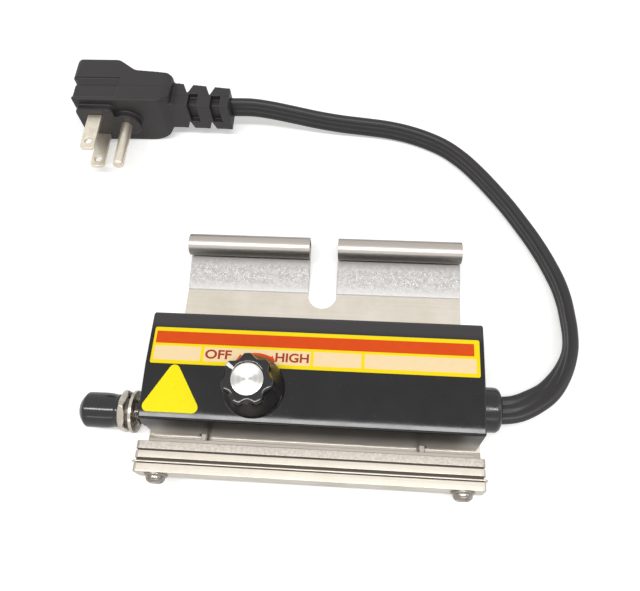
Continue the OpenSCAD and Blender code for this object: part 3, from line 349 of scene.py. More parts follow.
# Black enamel, sprayed and baked on steel: glossy, a faint orange peel, a few dust nibs, a paler haze along
# the back of the top, and a painted reflection low on the front wall: paler at the bottom and towards the left
enamelSet = {"deep": "#0F0E0F", "worn": "#181617", "haze": "#3A3637", "nib": "#4A4647", "paintedWallReflection": "#A8A29B",
             "cloudWide": 9, "peelWide": 1.3, "peelHigh": 0.0002, "bump": 0.03,
             "nibWide": 0.5, "nibs": (0.83, 0.88),  # the noise's top alone
             "rough": (0.11, 0.17), "wallRough": 0.34, "wallY": -0.0200, "hazeY": (0.0115, 0.0150),
             "paintedWallReflectionZ": (0.006, 0.0165, 1, 0), "paintedWallReflectionX": (-0.055, 0.0, 1, 0.55)}  # from, to, and how much at each
bakedEnamel, tree, shader, spot = startMaterial("bakedBlackEnamel", {"IOR": 1.5, "Specular IOR Level": 0.4})
at = addNode(tree, "SeparateXYZ", [spot]).outputs
cloud, peel, nib = [
    addNode(tree, "TexNoise", {"Vector": spot, "Scale": perMetre(enamelSet[wide]), "Detail": detail})
    for wide, detail in (("cloudWide", 4), ("peelWide", 2), ("nibWide", 0))]
nibs = addNode(tree, "MapRange", [nib, *enamelSet["nibs"]])
haze = addNode(tree, "MapRange", [at["Y"], *enamelSet["hazeY"]])
onWall = addNode(tree, "Math", [at["Y"], enamelSet["wallY"]], operation="LESS_THAN")
# painted reflection: the front wall paler towards its bottom, more so towards the left
paintedWallReflection = addNode(tree, "MapRange", [at["Z"], *enamelSet["paintedWallReflectionZ"]], interpolation_type="SMOOTHSTEP")
paintedWallReflection = addNode(tree, "Math", [paintedWallReflection, onWall], operation="MULTIPLY")
across = addNode(tree, "MapRange", [at["X"], *enamelSet["paintedWallReflectionX"]])
paintedWallReflection = addNode(tree, "Math", [paintedWallReflection, across], operation="MULTIPLY")
tone = addNode(tree, "Mix", [cloud, enamelSet["deep"], enamelSet["worn"]], data_type="RGBA")
for mask, colour in ((haze, "haze"), (nibs, "nib"), (paintedWallReflection, "paintedWallReflection")):
    tone = addNode(tree, "Mix", [mask, tone, enamelSet[colour]], data_type="RGBA")
rough = addNode(tree, "MapRange", [cloud, *noiseSpan, *enamelSet["rough"]])
rough = addNode(tree, "Mix", [onWall, rough, enamelSet["wallRough"]])
bump = addNode(tree, "Bump", {"Height": peel, "Strength": enamelSet["bump"], "Distance": enamelSet["peelHigh"]})
feed(shader, {"Base Color": tone, "Roughness": rough, "Normal": bump})


patchSpan, gritHigh, grainHigh = (0.36, 0.66), 0.0001, 0.0002  # a metal's dull patches; heights in metres


def rolledMetal(name, look):
    # sheet or bar metal: streaks along x from rolling or grinding, cloudy tint, a little grit
    material, tree, shader, spot = startMaterial(name, {"Metallic": 1.0})
    drawn = addNode(tree, "Mapping", {"Vector": spot, "Scale": [perMetre(s) for s in look["streak"]]})
    streak = addNode(tree, "TexNoise", {"Vector": drawn, "Scale": 1.0, "Detail": 3})
    cloud = addNode(tree, "TexNoise", {"Vector": spot, "Scale": perMetre(look["cloud"]), "Detail": 5,
                                       "Roughness": 0.65})
    patch = addNode(tree, "MapRange", [cloud, *patchSpan])
    tone = addNode(tree, "Mix", [patch, look["bright"], look["dull"]], data_type="RGBA")
    lines = addNode(tree, "MapRange", [streak, *noiseSpan, 1 - look["lines"], 1])
    tone = addNode(tree, "Mix", [1, tone, lines], data_type="RGBA", blend_type="MULTIPLY")
    rough = addNode(tree, "MapRange", [cloud, *noiseSpan, *look["rough"]])
    height = streak
    if "scuff" in look:
        tone, rough, height = scuffed(tree, spot, look["scuff"], streak, lines, tone, rough)
    bump = addNode(tree, "Bump", {"Height": height, "Strength": look["bump"], "Distance": gritHigh})
    feed(shader, {"Base Color": tone, "Roughness": rough, "Normal": bump})
    return material


def scuffed(tree, spot, scuff, streak, lines, tone, rough):
    # a strip in y that is worn: cooler, mottled, with bright nicks; it also carries painted light:
    # painted shade at its far edge under the curls and in front of a given y, a painted highlight at its start,
    # and past it a darker tone on the curls as a painted reflection
    start, end = scuff["y"]
    y = addNode(tree, "SeparateXYZ", [spot]).outputs["Y"]
    inFront = addNode(tree, "Math", [y, scuff["front"]], operation="LESS_THAN")
    tone = addNode(tree, "Mix", [inFront, tone, scuff["shaded"]], data_type="RGBA")
    mottle = addNode(tree, "TexNoise", {"Vector": spot, "Scale": perMetre(scuff["mottle"]), "Detail": 8,
                                        "Roughness": 0.72})
    ragged = addNode(tree, "Math", [mottle, scuff["ragged"], y], operation="MULTIPLY_ADD")
    enters = addNode(tree, "MapRange", [ragged, start, start + scuff["fade"]])
    leaves = addNode(tree, "MapRange", [y, end - scuff["fade"], end, 1, 0])
    zone = addNode(tree, "Math", [enters, leaves], operation="MULTIPLY")
    # painted reflection: past the strip the curls take a darker tone
    past = addNode(tree, "Math", [1, leaves], operation="SUBTRACT")
    paintedReflectionTone = addNode(tree, "Mix", [1, scuff["paintedCurlReflection"], lines], data_type="RGBA", blend_type="MULTIPLY")
    tone = addNode(tree, "Mix", [past, tone, paintedReflectionTone], data_type="RGBA")
    blotch = addNode(tree, "MapRange", [mottle, *scuff["blotches"]])
    worn = addNode(tree, "Mix", [blotch, scuff["dull"], scuff["bright"]], data_type="RGBA")
    # painted highlight: the worn strip lighter towards its start at the bend
    paintedBendHighlight = addNode(tree, "MapRange", [y, start, *scuff["paintedBendHighlight"]])
    nick = addNode(tree, "TexNoise", {"Vector": spot, "Scale": perMetre(scuff["nick"]), "Detail": 3})
    away = addNode(tree, "Math", [y, (start + end) / 2], operation="SUBTRACT")
    away = addNode(tree, "Math", [away], operation="ABSOLUTE")
    near = addNode(tree, "MapRange", [away, *scuff["nickReach"]])
    nicks = addNode(tree, "MapRange", [nick, *scuff["nicks"]])
    nicks = addNode(tree, "Math", [nicks, near], operation="MULTIPLY")
    # painted shade: darker towards the strip's far edge, under the curls
    paintedCurlShade = addNode(tree, "MapRange", [ragged, scuff["paintedCurlShadeFrom"], end])
    for mask, colour in ((paintedBendHighlight, "bend"), (nicks, "shine"), (paintedCurlShade, "paintedCurlShade")):
        worn = addNode(tree, "Mix", [mask, worn, scuff[colour]], data_type="RGBA")
    tone = addNode(tree, "Mix", [zone, tone, worn], data_type="RGBA")
    rough = addNode(tree, "Mix", [zone, rough, addNode(tree, "MapRange", [mottle, *noiseSpan, *scuff["rough"]])])
    pitted = addNode(tree, "Math", [zone, mottle], operation="MULTIPLY")
    return tone, rough, addNode(tree, "Math", [streak, pitted], operation="ADD")


# Stainless sheet, cold rolled: even grey-beige with soft reflections and fine roll lines along the width,
# and a scuffed strip where it rubs under the curls; painted shade under the curls and in front of the cover,
# a painted highlight by the bend and a darker painted reflection on the curls
rolledStainless = rolledMetal("coldRolledStainless", {
    "bright": "#E2DBCE", "dull": "#D2CABB", "streak": (30, 0.5, 0.5), "cloud": 18, "lines": 0.06,
    "rough": (0.28, 0.36), "bump": 0.08,
    "scuff": {"y": (0.0400, 0.0545), "fade": 0.0005, "ragged": 0.0009, "rough": (0.36, 0.5),
              "dull": "#8B8987", "bright": "#A6A4A2", "mottle": 1.6, "blotches": (0.38, 0.62),
              # painted highlight: this colour lightens the strip towards its start at the bend
              "bend": "#B0AEAC", "paintedBendHighlight": (0.0440, 0.85, 0),  # where it ends, and how much at its start and end
              "shine": "#DAD9D8", "nick": 0.5, "nicks": (0.60, 0.68), "nickReach": (0.0015, 0.0055, 1, 0.1),
              # painted shade under the curls, from the y given on; the colour after it is a painted reflection on
              # the curls
              "paintedCurlShade": "#8A8682", "paintedCurlShadeFrom": 0.0512, "paintedCurlReflection": "#BBB4AD",
              "front": -0.0215, "shaded": "#A39C94"}})
# Steel bar, surface ground: pale, straight grinding lines, a straw tint left by the heat
groundSteel = rolledMetal("groundBarSteel", {
    "bright": "#C6C0B5", "dull": "#B9B1A5", "streak": (22, 0.4, 0.4), "cloud": 14, "lines": 0.09,
    "rough": (0.32, 0.42), "bump": 0.10})
# Steel bar, sheared: grey-beige, rough and speckled
shearedSteel = rolledMetal("shearedBarSteel", {
    "bright": "#B6AFA7", "dull": "#A49D94", "streak": (1.2, 0.6, 0.6), "cloud": 0.9, "lines": 0.12,
    "rough": (0.42, 0.56), "bump": 0.12})
# Steel, nickel plated: bright and slightly warm, small dull patches
nickelPlate = rolledMetal("nickelPlatedSteel", {
    "bright": "#D0C9BD", "dull": "#B4ADA0", "streak": (3, 0.6, 0.6), "cloud": 3, "lines": 0.08,
    "rough": (0.18, 0.32), "bump": 0.06})
# Steel screws and studs, dull nickel over rolled threads: mid grey with dark hollows
dullNickel = rolledMetal("dullNickelSteel", {
    "bright": "#A8A199", "dull": "#79726A", "streak": (1.5, 0.5, 0.5), "cloud": 1.6, "lines": 0.14,
    "rough": (0.16, 0.28), "bump": 0.08})
# Nickel plated brass blades: rubbed dull lengthwise where they slide in a socket
rubbedNickel = rolledMetal("rubbedNickelBrass", {
    "bright": "#F0E7D7", "dull": "#DCD2BE", "streak": (0.5, 9, 0.5), "cloud": 4, "lines": 0.10,
    "rough": (0.34, 0.46), "bump": 0.08})
# Spring steel, oiled: dark, patchy
oiledSpring = rolledMetal("oiledSpringSteel", {
    "bright": "#6B655E", "dull": "#403B36", "streak": (2, 0.5, 0.5), "cloud": 2, "lines": 0.2,
    "rough": (0.3, 0.5), "bump": 0.1})
# Brass, stamped: yellow, with soft draw lines
stampedBrass = rolledMetal("stampedBrass", {
    "bright": "#D9B667", "dull": "#B48F45", "streak": (4, 0.5, 0.5), "cloud": 4, "lines": 0.1,
    "rough": (0.24, 0.4), "bump": 0.06})


def mouldedPlastic(name, look):
    # moulded or dipped plastic: one colour with a soft drift, fine grain, uneven gloss
    material, tree, shader, spot = startMaterial(name, {
        "IOR": look.get("ior", 1.5), "Specular IOR Level": look.get("shine", 0.5)})
    drift = addNode(tree, "TexNoise", {"Vector": spot, "Scale": perMetre(look["drift"]), "Detail": 3})
    grain = addNode(tree, "TexNoise", {"Vector": spot, "Scale": perMetre(look["grain"]), "Detail": 2})
    tone = addNode(tree, "Mix", [drift, look["deep"], look["pale"]], data_type="RGBA")
    rough = addNode(tree, "MapRange", [drift, *noiseSpan, *look["rough"]])
    height = grain
    at = addNode(tree, "SeparateXYZ", [spot]).outputs
    if "handled" in look:  # dulled by fingers round the flanks, between two heights
        handled = look["handled"]
        away = addNode(tree, "Math", [at["Z"], handled["z"]], operation="SUBTRACT")
        away = addNode(tree, "Math", [away], operation="ABSOLUTE")
        flank = addNode(tree, "MapRange", [away, handled["half"] - handled["fade"], handled["half"], 1, 0])
        rough = addNode(tree, "Mix", [flank, rough, handled["rough"]])
    if "seam" in look:  # the mould's parting line, past a point along x
        seam = look["seam"]
        away = addNode(tree, "Math", [at["Y"], seam["y"]], operation="SUBTRACT")
        away = addNode(tree, "Math", [away], operation="ABSOLUTE")
        line = addNode(tree, "MapRange", [away, seam["half"] * 0.4, seam["half"], 1, 0])
        past = addNode(tree, "Math", [at["X"], seam["x"]], operation="GREATER_THAN")
        line = addNode(tree, "Math", [line, past], operation="MULTIPLY")
        tone = addNode(tree, "Mix", [line, tone, seam["shade"]], data_type="RGBA")
        height = addNode(tree, "Math", [grain, line], operation="SUBTRACT")
    bump = addNode(tree, "Bump", {"Height": height, "Strength": look["bump"], "Distance": grainHigh})
    feed(shader, {"Base Color": tone, "Roughness": rough, "Normal": bump})
    return material


# Phenolic, compression moulded and buffed: deep black, glossy edges
knobPhenolic = mouldedPlastic("mouldedBlackPhenolic", {
    "deep": "#181617", "pale": "#221F20", "drift": 4, "grain": 0.5, "rough": (0.1, 0.16), "bump": 0.03,
    "ior": 1.55, "shine": 0.4, "handled": {"z": 0.0073, "half": 0.0053, "fade": 0.002, "rough": 0.4}})
# Vinyl, dip moulded: glossy, slightly wavy skin
dippedVinyl = mouldedPlastic("dippedBlackVinyl", {
    "deep": "#1B191A", "pale": "#252223", "drift": 5, "grain": 7, "rough": (0.11, 0.16), "bump": 0.3,
    "ior": 1.53})
# Soft PVC, injection moulded: charcoal, dull, a very fine spark-eroded grain
mouldedPvc = mouldedPlastic("mouldedSoftPvc", {
    "deep": "#262324", "pale": "#312E2F", "drift": 6, "grain": 0.35, "rough": (0.4, 0.52), "bump": 0.12,
    "ior": 1.53, "shine": 0.4, "seam": {"y": 0.1256, "half": 0.0002, "x": -0.0945, "shade": "#131112"}})
# Nylon, injection moulded: black, satin
glandNylon = mouldedPlastic("mouldedBlackNylon", {
    "deep": "#121112", "pale": "#1C1A1B", "drift": 5, "grain": 0.5, "rough": (0.18, 0.28), "bump": 0.04,
    "ior": 1.53})
# Phenolic, moulded for the control: brown, dull
brownPhenolic = mouldedPlastic("mouldedBrownPhenolic", {
    "deep": "#3A281E", "pale": "#4D372A", "drift": 5, "grain": 0.5, "rough": (0.4, 0.55), "bump": 0.08})
# Nylon, moulded without a dye: cream, satin
naturalNylon = mouldedPlastic("naturalNylon", {
    "deep": "#D8CFB8", "pale": "#E8E1CF", "drift": 4, "grain": 0.5, "rough": (0.4, 0.5), "bump": 0.05})
# Mica laminate, pressed: brown, glinting flakes
pressedMica = mouldedPlastic("pressedMicaLaminate", {
    "deep": "#2B2419", "pale": "#473B29", "drift": 1.4, "grain": 0.6, "rough": (0.3, 0.6), "bump": 0.2})
# Glass sleeving, woven and left natural: off-white, matte
glassSleeve = mouldedPlastic("naturalGlassSleeve", {
    "deep": "#D4CEC4", "pale": "#E2DCD2", "drift": 1.0, "grain": 0.6, "rough": (0.5, 0.65), "bump": 0.4})
# PVC, extruded over the wires: plain colours, satin
coatSet = {"lead_live": ("#1D1D20", "#2C2C30"), "lead_load": ("#8E2A20", "#A8382B"),
           "lead_neutral": ("#D9D7D0", "#E8E6E0"), "lead_earth": ("#336B31", "#437F3F")}
wireCoats = {wire: mouldedPlastic(wire + "ExtrudedCoat", {
    "deep": deep, "pale": pale, "drift": 5, "grain": 0.8, "rough": (0.35, 0.45), "bump": 0.04})
    for wire, (deep, pale) in coatSet.items()}
# Stove paint, filled into the pointer's groove: chalky white
strokePaint = mouldedPlastic("filledWhitePaint", {
    "deep": "#E4E2DC", "pale": "#F6F5F1", "drift": 1.2, "grain": 0.3, "rough": (0.45, 0.6), "bump": 0.1})

# Matt film, screen printed: flat ink with a faint ripple, and hardly any shine to veil the colour
filmSet = {"ripple": 2.2, "wave": 6, "waveHigh": 0.0003, "bump": 0.08, "rough": (0.34, 0.46), "shine": 0.16}


def printedFilm(name, ink, shade):
    material, tree, shader, spot = startMaterial(name, {"IOR": 1.5, "Specular IOR Level": filmSet["shine"]})
    ripple = addNode(tree, "TexNoise", {"Vector": spot, "Scale": perMetre(filmSet["ripple"]), "Detail": 4})
    wave = addNode(tree, "TexNoise", {"Vector": spot, "Scale": perMetre(filmSet["wave"]), "Detail": 1})
    tone = addNode(tree, "Mix", [ripple, ink, shade], data_type="RGBA")
    rough = addNode(tree, "MapRange", [ripple, 0, 1, *filmSet["rough"]])
    bump = addNode(tree, "Bump", {"Height": wave, "Strength": filmSet["bump"], "Distance": filmSet["waveHigh"]})
    feed(shader, {"Base Color": tone, "Roughness": rough, "Normal": bump})
    return material


yellowFilm = printedFilm("printedYellowFilm", "#FFE61A", "#FBDC12")
redFilm = printedFilm("printedRedFilm", "#E4551B", "#DA4A14")
creamFilm = printedFilm("printedCreamFilm", "#FDE4B8", "#F8DBA8")
inkFilm = printedFilm("printedBrownInk", "#B0432A", "#A33C24")
yellowVinyl = printedFilm("cutYellowVinyl", "#FFF200", "#FAE800")

# Aluminium, spun on a lathe: ring lines round the middle, so light fans out in wedges
spunSet = {"bright": "#CFCDC9", "dull": "#C2C0BB", "rough": 0.3, "grooved": 0.92, "turn": 0.25,
           "ring": 0.3}  # real lines are finer, drawn coarser so that they show
spunAluminium, tree, shader, spot = startMaterial("spunAluminium", {
    "Metallic": 1.0, "Roughness": spunSet["rough"], "Anisotropic": spunSet["grooved"],
    "Anisotropic Rotation": spunSet["turn"]})
rings = addNode(tree, "TexWave", {"Vector": spot, "Scale": perMetre(spunSet["ring"]) / 20},  # 20 rings to a unit
                wave_type="RINGS", rings_direction="Z")
tone = addNode(tree, "Mix", [rings.outputs["Fac"], spunSet["bright"], spunSet["dull"]], data_type="RGBA")
feed(shader, {"Base Color": tone, "Tangent": addNode(tree, "Tangent", direction_type="RADIAL", axis="Z")})

# PVC, extruded over the cores: charcoal, a dull sheen and draw lines along the length
cordLook = {"deep": "#211F20", "pale": "#302D2E", "line": 0.5, "run": 40, "lineHigh": 0.0002, "bump": 0.12,
            "cloud": 8, "rough": (0.34, 0.46)}
extrudedPvc, tree, shader, spot = startMaterial("extrudedCordPvc", {"IOR": 1.53, "Specular IOR Level": 0.38})
drawn = addNode(tree, "Mapping", {"Vector": addNode(tree, "TexCoord").outputs["UV"],
                                  "Scale": (perMetre(cordLook["line"]), perMetre(cordLook["run"]), 1)})
lines = addNode(tree, "TexNoise", {"Vector": drawn, "Scale": 1.0, "Detail": 3})
cloud = addNode(tree, "TexNoise", {"Vector": spot, "Scale": perMetre(cordLook["cloud"]), "Detail": 3})
tone = addNode(tree, "Mix", [lines, cordLook["deep"], cordLook["pale"]], data_type="RGBA")
rough = addNode(tree, "MapRange", [cloud, *noiseSpan, *cordLook["rough"]])
bump = addNode(tree, "Bump", {"Height": lines, "Strength": cordLook["bump"], "Distance": cordLook["lineHigh"]})
feed(shader, {"Base Color": tone, "Roughness": rough, "Normal": bump})
print("finishes done")

cordSet = {
    "route": [(60, -8.5, 12.5), (67, -8.5, 12.5), (73, -7.5, 12.5), (79, -4.5, 12), (84.5, -0.5, 11),
              (89, 5, 10), (92.5, 11, 9), (95, 17.5, 8), (96, 24.5, 7), (96, 31.5, 6), (95.5, 38.5, 5.5),
              (94, 46, 5.1), (91.5, 53, 5.1), (88.5, 60, 5.1), (85, 67, 5.1), (81, 74, 5.1), (76.5, 81.5, 5.1),
              (71, 89.5, 5.1), (65, 97.5, 5.1), (58.5, 105, 5.1), (51, 111.5, 5.1), (43, 116, 5.1),
              (34, 119.5, 5.1), (24.5, 121.5, 5.5), (14.5, 122.5, 6), (4, 123, 7), (-7, 123.8, 8.5),
              (-18, 124.8, 10.5), (-27.5, 125.6, 12.2), (-36.5, 126, 13.4), (-45.8, 126, 13.4)],
    "turned": (1, 8),  # points between which the flat lead turns on edge
    "cores": (-3, 0, 3), "coreR": 2.0, "valley": 1.55, "between": 4, "round": 14}


def alongRoute(route, between):
    # one smooth curve through the points, with the point number at each step
    path = []
    last = len(route) - 1
    for i in range(last):
        a, b, c, d = (Vector(route[min(max(i + k, 0), last)]) for k in (-1, 0, 1, 2))
        for k in range(between):
            t = k / between
            path.append((i + t, 0.5 * (2 * b + (c - a) * t + (2 * a - 5 * b + 4 * c - d) * t * t
                                       + (3 * b - a - 3 * c + d) * t ** 3)))
    path.append((last, Vector(route[last])))
    return path


def flatOutline(cores, coreR, valley, steps):
    # cores side by side under one skin
    edge = cores[-1] + coreR
    top = []
    for k in range(2 * steps + 1):
        q = -edge * math.cos(math.pi * k / (2 * steps))
        rise = max(coreR ** 2 - (q - c) ** 2 for c in cores)
        high = math.sqrt(max(rise, 0))
        if abs(q) < cores[-1]:
            high = max(high, valley)
        top.append((q, high))
    return top + [(q, -h) for q, h in top[-2:0:-1]]


route = alongRoute(cordSet["route"], cordSet["between"])
outline = flatOutline(cordSet["cores"], cordSet["coreR"], cordSet["valley"], cordSet["round"])
turnFrom, turnTo = cordSet["turned"]
rings, runs, cordRun = [], [], 0.0
for n, (number, point) in enumerate(route):
    before, after = route[max(n - 1, 0)][1], route[min(n + 1, len(route) - 1)][1]
    ahead = (after - before).normalized()
    across = ahead.cross(Vector((0, 0, 1))).normalized()
    up = across.cross(ahead)
    share = min(max((number - turnFrom) / (turnTo - turnFrom), 0), 1)
    turn = math.radians(90) * share * share * (3 - 2 * share)
    cos, sin = math.cos(turn), math.sin(turn)
    rings.append([tuple(point + across * (q * cos - h * sin) + up * (q * sin + h * cos)) for q, h in outline])
    cordRun += (point - before).length
    runs.append(cordRun * mm)
mesh = meshFrom("powerCord", tubeSkin(rings))
girths = [0.0]
for a, b in zip(outline, outline[1:] + outline[:1]):
    girths.append(girths[-1] + math.dist(a, b) * mm)
uv = mesh.uv_layers.new(name="along")  # metres round the lead and along it
count = len(outline)
for face in mesh.polygons:
    columns = [mesh.loops[i].vertex_index % count for i in face.loop_indices]
    wraps = max(columns) - min(columns) > 1 and len(columns) == 4
    for i, column in zip(face.loop_indices, columns):
        wide = girths[count] if wraps and column == 0 else girths[column]
        uv.data[i].uv = (wide, runs[mesh.loops[i].vertex_index // count])
cord = addPiece("powerCord", mesh, extrudedPvc, "heater", ["power_cord"], crease=60)
print("cord laid,", round(cordRun, 1), "mm")

# the plug: the CAD body, rounded off, fused with a notched relief and softened as a moulding is, all in mm
plugSet = {"voxel": 0.22, "passes": 9, "keep": 0.35, "over": 1.0,  # a cut runs over the skin by this much
           # the relief narrows from the body to the cord: x, front y and back y at each end
           "wide": (-76.0, 120.1, 133.4), "slim": (-46.0, 119.4, 130.2), "low": 5.9, "high": 20.9,
           # each notch: its x, the y of its tip, and its half width at the back and at the bottom
           "notches": [(-65.2, 127.2, 2.2, 1.5), (-55.0, 126.2, 2.0, 1.5)], "notchHigh": 4.7,
           # slots beside the notches, on the top and the front
           "slotFrom": 0.9, "slotLong": 4.0, "slotDeep": 2.5, "slotLow": 10.3, "slotWall": 0.4,
           # the body is round below at the lead's end, where a shoulder makes it nearly square above
           "right": -71.5, "roundR": 13.4, "face": 117.3, "neckBack": 134.7, "shoulderHigh": 26.8, "squareR": 3.4,
           "shoulder": [(-83.7, 117.4), (-75.7, 117.4), (-71.7, 121.3), (-71.7, 133.2), (-83.7, 134.2)],
           # the finger scoop on top: its floor and the filled strip in front of it, as y and z
           "scoop": [(118.6, 25.0), (118.6, 26.6), (124.9, 26.6), (126.2, 25.7), (127.4, 25.45), (130.5, 25.9),
                     (130.5, 25.0)], "scoopX": (-113.8, -94.0)}
over, low, high, deep = (plugSet[key] for key in ("over", "low", "high", "slotDeep"))
(xWide, frontWide, backWide), (xSlim, frontSlim, backSlim) = plugSet["wide"], plugSet["slim"]
cuts = []
for x, tip, wideBack, wideLow in plugSet["notches"]:
    share = (x - xWide) / (xSlim - xWide)
    front = frontWide + (frontSlim - frontWide) * share
    back = backWide + (backSlim - backWide) * share
    wide = wideBack * (back + over - tip) / (back - tip)
    cuts.append(prism([(x - wide, back + over), (x, tip), (x + wide, back + over)], "z", low - over, high + over))
    wide = wideLow * (plugSet["notchHigh"] + over) / plugSet["notchHigh"]
    cuts.append(prism([(x - wide, low - over), (x + wide, low - over), (x, low + plugSet["notchHigh"])], "y",
                      front - over, back + over))
    slotBack, slotStart = tip - plugSet["slotWall"], x + plugSet["slotFrom"]
    cuts.append(prism([(front - over, plugSet["slotLow"]), (front + deep, plugSet["slotLow"]),
                       (front + deep, high - deep), (slotBack, high - deep), (slotBack, high + over),
                       (front - over, high + over)], "x", slotStart, slotStart + plugSet["slotLong"]))
relief = prism([(xWide, frontWide), (xSlim, frontSlim), (xSlim, backSlim), (xWide, backWide)], "z", low, high)
relief = solidOf(carved("plugRelief", relief, cuts, 1))
outside, ends = plugSet["right"] + over, (plugSet["face"] - over, plugSet["neckBack"] + over)
r = plugSet["roundR"]
middle = (plugSet["right"] - r, r)
below = prism([(outside, r), *arcPoints(middle, r, 0, -90, 16), (middle[0], -over), (outside, -over)], "y", *ends)
body = solidOf(carved("plugBody", solidOf(nodes["plug_body"].data, mm), [below], 1))
top, edge, square = plugSet["shoulderHigh"], plugSet["shoulder"][2][0], plugSet["squareR"]
rounded = arcPoints((edge - square, top - square), square, 90, 0, 8)
above = prism([(edge + over, top + over), (edge - square, top + over), *rounded, (edge + over, top - square)],
              "y", *ends)
shoulder = solidOf(carved("plugShoulder", prism(plugSet["shoulder"], "z", r, top), [above], 1))
scoop = prism(plugSet["scoop"], "x", *plugSet["scoopX"])
mesh = mouldedMesh("plugMoulding", [body, relief, shoulder, scoop],
                   plugSet["voxel"], plugSet["passes"], plugSet["keep"])
plug = addPiece("plugMoulding", mesh, mouldedPvc, "heater", ["plug_body", "plug_relief"], crease=60)
blades = easedPiece("plugBlades", "plug_blades", 0.25, 3, rubbedNickel, "blade_nickel")

pinSet = {"root": (-92.4, 115.0, 13.4), "long": 22.7, "r": 2.4, "round": 1.1}
pinPlace = Matrix.Translation([v * mm for v in pinSet["root"]]) @ Matrix.Rotation(math.radians(90), 4, "X")
r, eased, long = pinSet["r"], pinSet["round"], pinSet["long"]
profile = [(0, 0), (r, 0), *arcPoints((r - eased, long - eased), eased, 0, 90, 5), (0, long)]
pin = addPiece("plugPin", meshFrom("plugPin", spin(profile, 48)), rubbedNickel, "heater",
               ["plug_pin"], pinPlace)
print("plug done")

# the cover: one folded sheet, its front edge softly crowned, with holes for what passes through it, all in mm
coverSet = {"half": 60, "front": -20.3, "rear": 19.5, "foot": 1.2, "top": 24.8, "lean": 0.9, "sheet": 1.0,
            "frontBend": 1.0, "rearBend": 2.0, "endBend": 0.6, "slopeRun": 19.2, "slopeFall": 2.018, "slopeR": 6.0,
            "crownRun": 2.6, "crownFall": 0.27, "crownR": 22, "station": 6,
            "knobHole": (-20.3, -7.8, 24.1, 4.85), "endHoles": [(-60, -15.0, 9.7, 4.1), (60, -8.5, 12.5, 6.8)],
            "holeReach": 3, "leadX": 40, "leadWide": 3.4, "leadHigh": 5.6, "leadY": (-24, -18)}
front, rear, foot, top = (coverSet[key] for key in ("front", "rear", "foot", "top"))
frontHigh = top - coverSet["slopeFall"]
crownHigh = frontHigh + coverSet["slopeFall"] * coverSet["crownRun"] / coverSet["slopeRun"]
corners = [(front - coverSet["lean"], foot), (front, frontHigh - coverSet["crownFall"]),
           (front + coverSet["crownRun"], crownHigh), (front + coverSet["slopeRun"], top),
           (rear, top), (rear, foot)]
bends = [0, coverSet["frontBend"], coverSet["crownR"], coverSet["slopeR"], coverSet["rearBend"], 0]
shape = [Vector(q) for q in roundedPath(corners, bends, 8)]
outward = []
for i in range(len(shape)):
    ahead = (shape[min(i + 1, len(shape) - 1)] - shape[max(i - 1, 0)]).normalized()
    outward.append(Vector((-ahead.y, ahead.x)))
half, bend, step = coverSet["half"], coverSet["endBend"], coverSet["station"]
rolled = arcPoints((half - bend, bend), bend, -90, 0, 6)  # x and inset round an end's bend
stations = [(-x, inset) for x, inset in rolled[::-1]]
stations += [(x, 0.0) for x in range(step - half, half, step)] + rolled
rings = []
for x, inset in stations:
    ring = []
    for q, n in zip(shape, outward):
        y, z = q - n * inset
        ring.append((x, y, foot if q in (shape[0], shape[-1]) else z))
    rings.append(ring)
reach = coverSet["holeReach"]
x, y, z, r = coverSet["knobHole"]
cuts = [prism(arcPoints((x, y), r, 0, 360, 48)[:-1], "z", z - reach, z + reach)]
for x, y, z, r in coverSet["endHoles"]:
    cuts.append(prism(arcPoints((y, z), r, 0, 360, 48)[:-1], "x", x - reach, x + reach))
for x in (-coverSet["leadX"], coverSet["leadX"]):
    slot = boxCorners(x - coverSet["leadWide"] / 2, -1, x + coverSet["leadWide"] / 2, coverSet["leadHigh"])
    cuts.append(prism(slot, "y", *coverSet["leadY"]))
mesh = carved("coverForm", tubeSkin(rings, wrap=False), cuts, sheet=coverSet["sheet"])
addPiece("coverBox", mesh, bakedEnamel, "heater", ["cover"], crease=30)

# the label film with its printed fields, all in mm on the cover's flat top
labelSet = {"z": 24.8, "filmT": 0.16, "inkT": 0.03, "bold": 0.026,
            "film": (-58.3, -0.8, 58.3, 13.0), "filmR": 0.7, "band": (-57.4, 6.9, 56.4, 11.5), "bandR": 0.15,
            "cells": [(-57.3, 0.6, -40.4, 5.9), (-39.2, 0.6, -0.9, 5.9), (0.2, 0.6, 17.0, 5.9),
                      (18.2, 0.6, 57.0, 5.9)], "cellR": 0.3,
            "words": [("OFF", -38.7, -29.2, 1.6, 5.1), ("HIGH", -13.4, -1.5, 1.55, 4.95)],
            "arc": {"middle": (-20.3, -7.8), "r": 11.6, "w": 1.5, "from": 64, "to": 116,
                    "headL": 2.4, "headW": 2.9}}
zFilm = labelSet["z"] + labelSet["filmT"]
zInk = zFilm + labelSet["inkT"]
for name, boxes, r, low, high, film, stands in (
        ("labelFilm", [labelSet["film"]], labelSet["filmR"], labelSet["z"], zFilm, yellowFilm, ["label_plate"]),
        ("labelBand", [labelSet["band"]], labelSet["bandR"], zFilm, zInk, redFilm, []),
        ("labelCells", labelSet["cells"], labelSet["cellR"], zFilm, zInk, creamFilm, [])):
    fields = [prism(roundedPath(boxCorners(*box), [r] * 4, 5, closed=True), "z", low, high) for box in boxes]
    addPiece(name, meshFrom(name, joinSolids(fields)), film, "heater", stands)
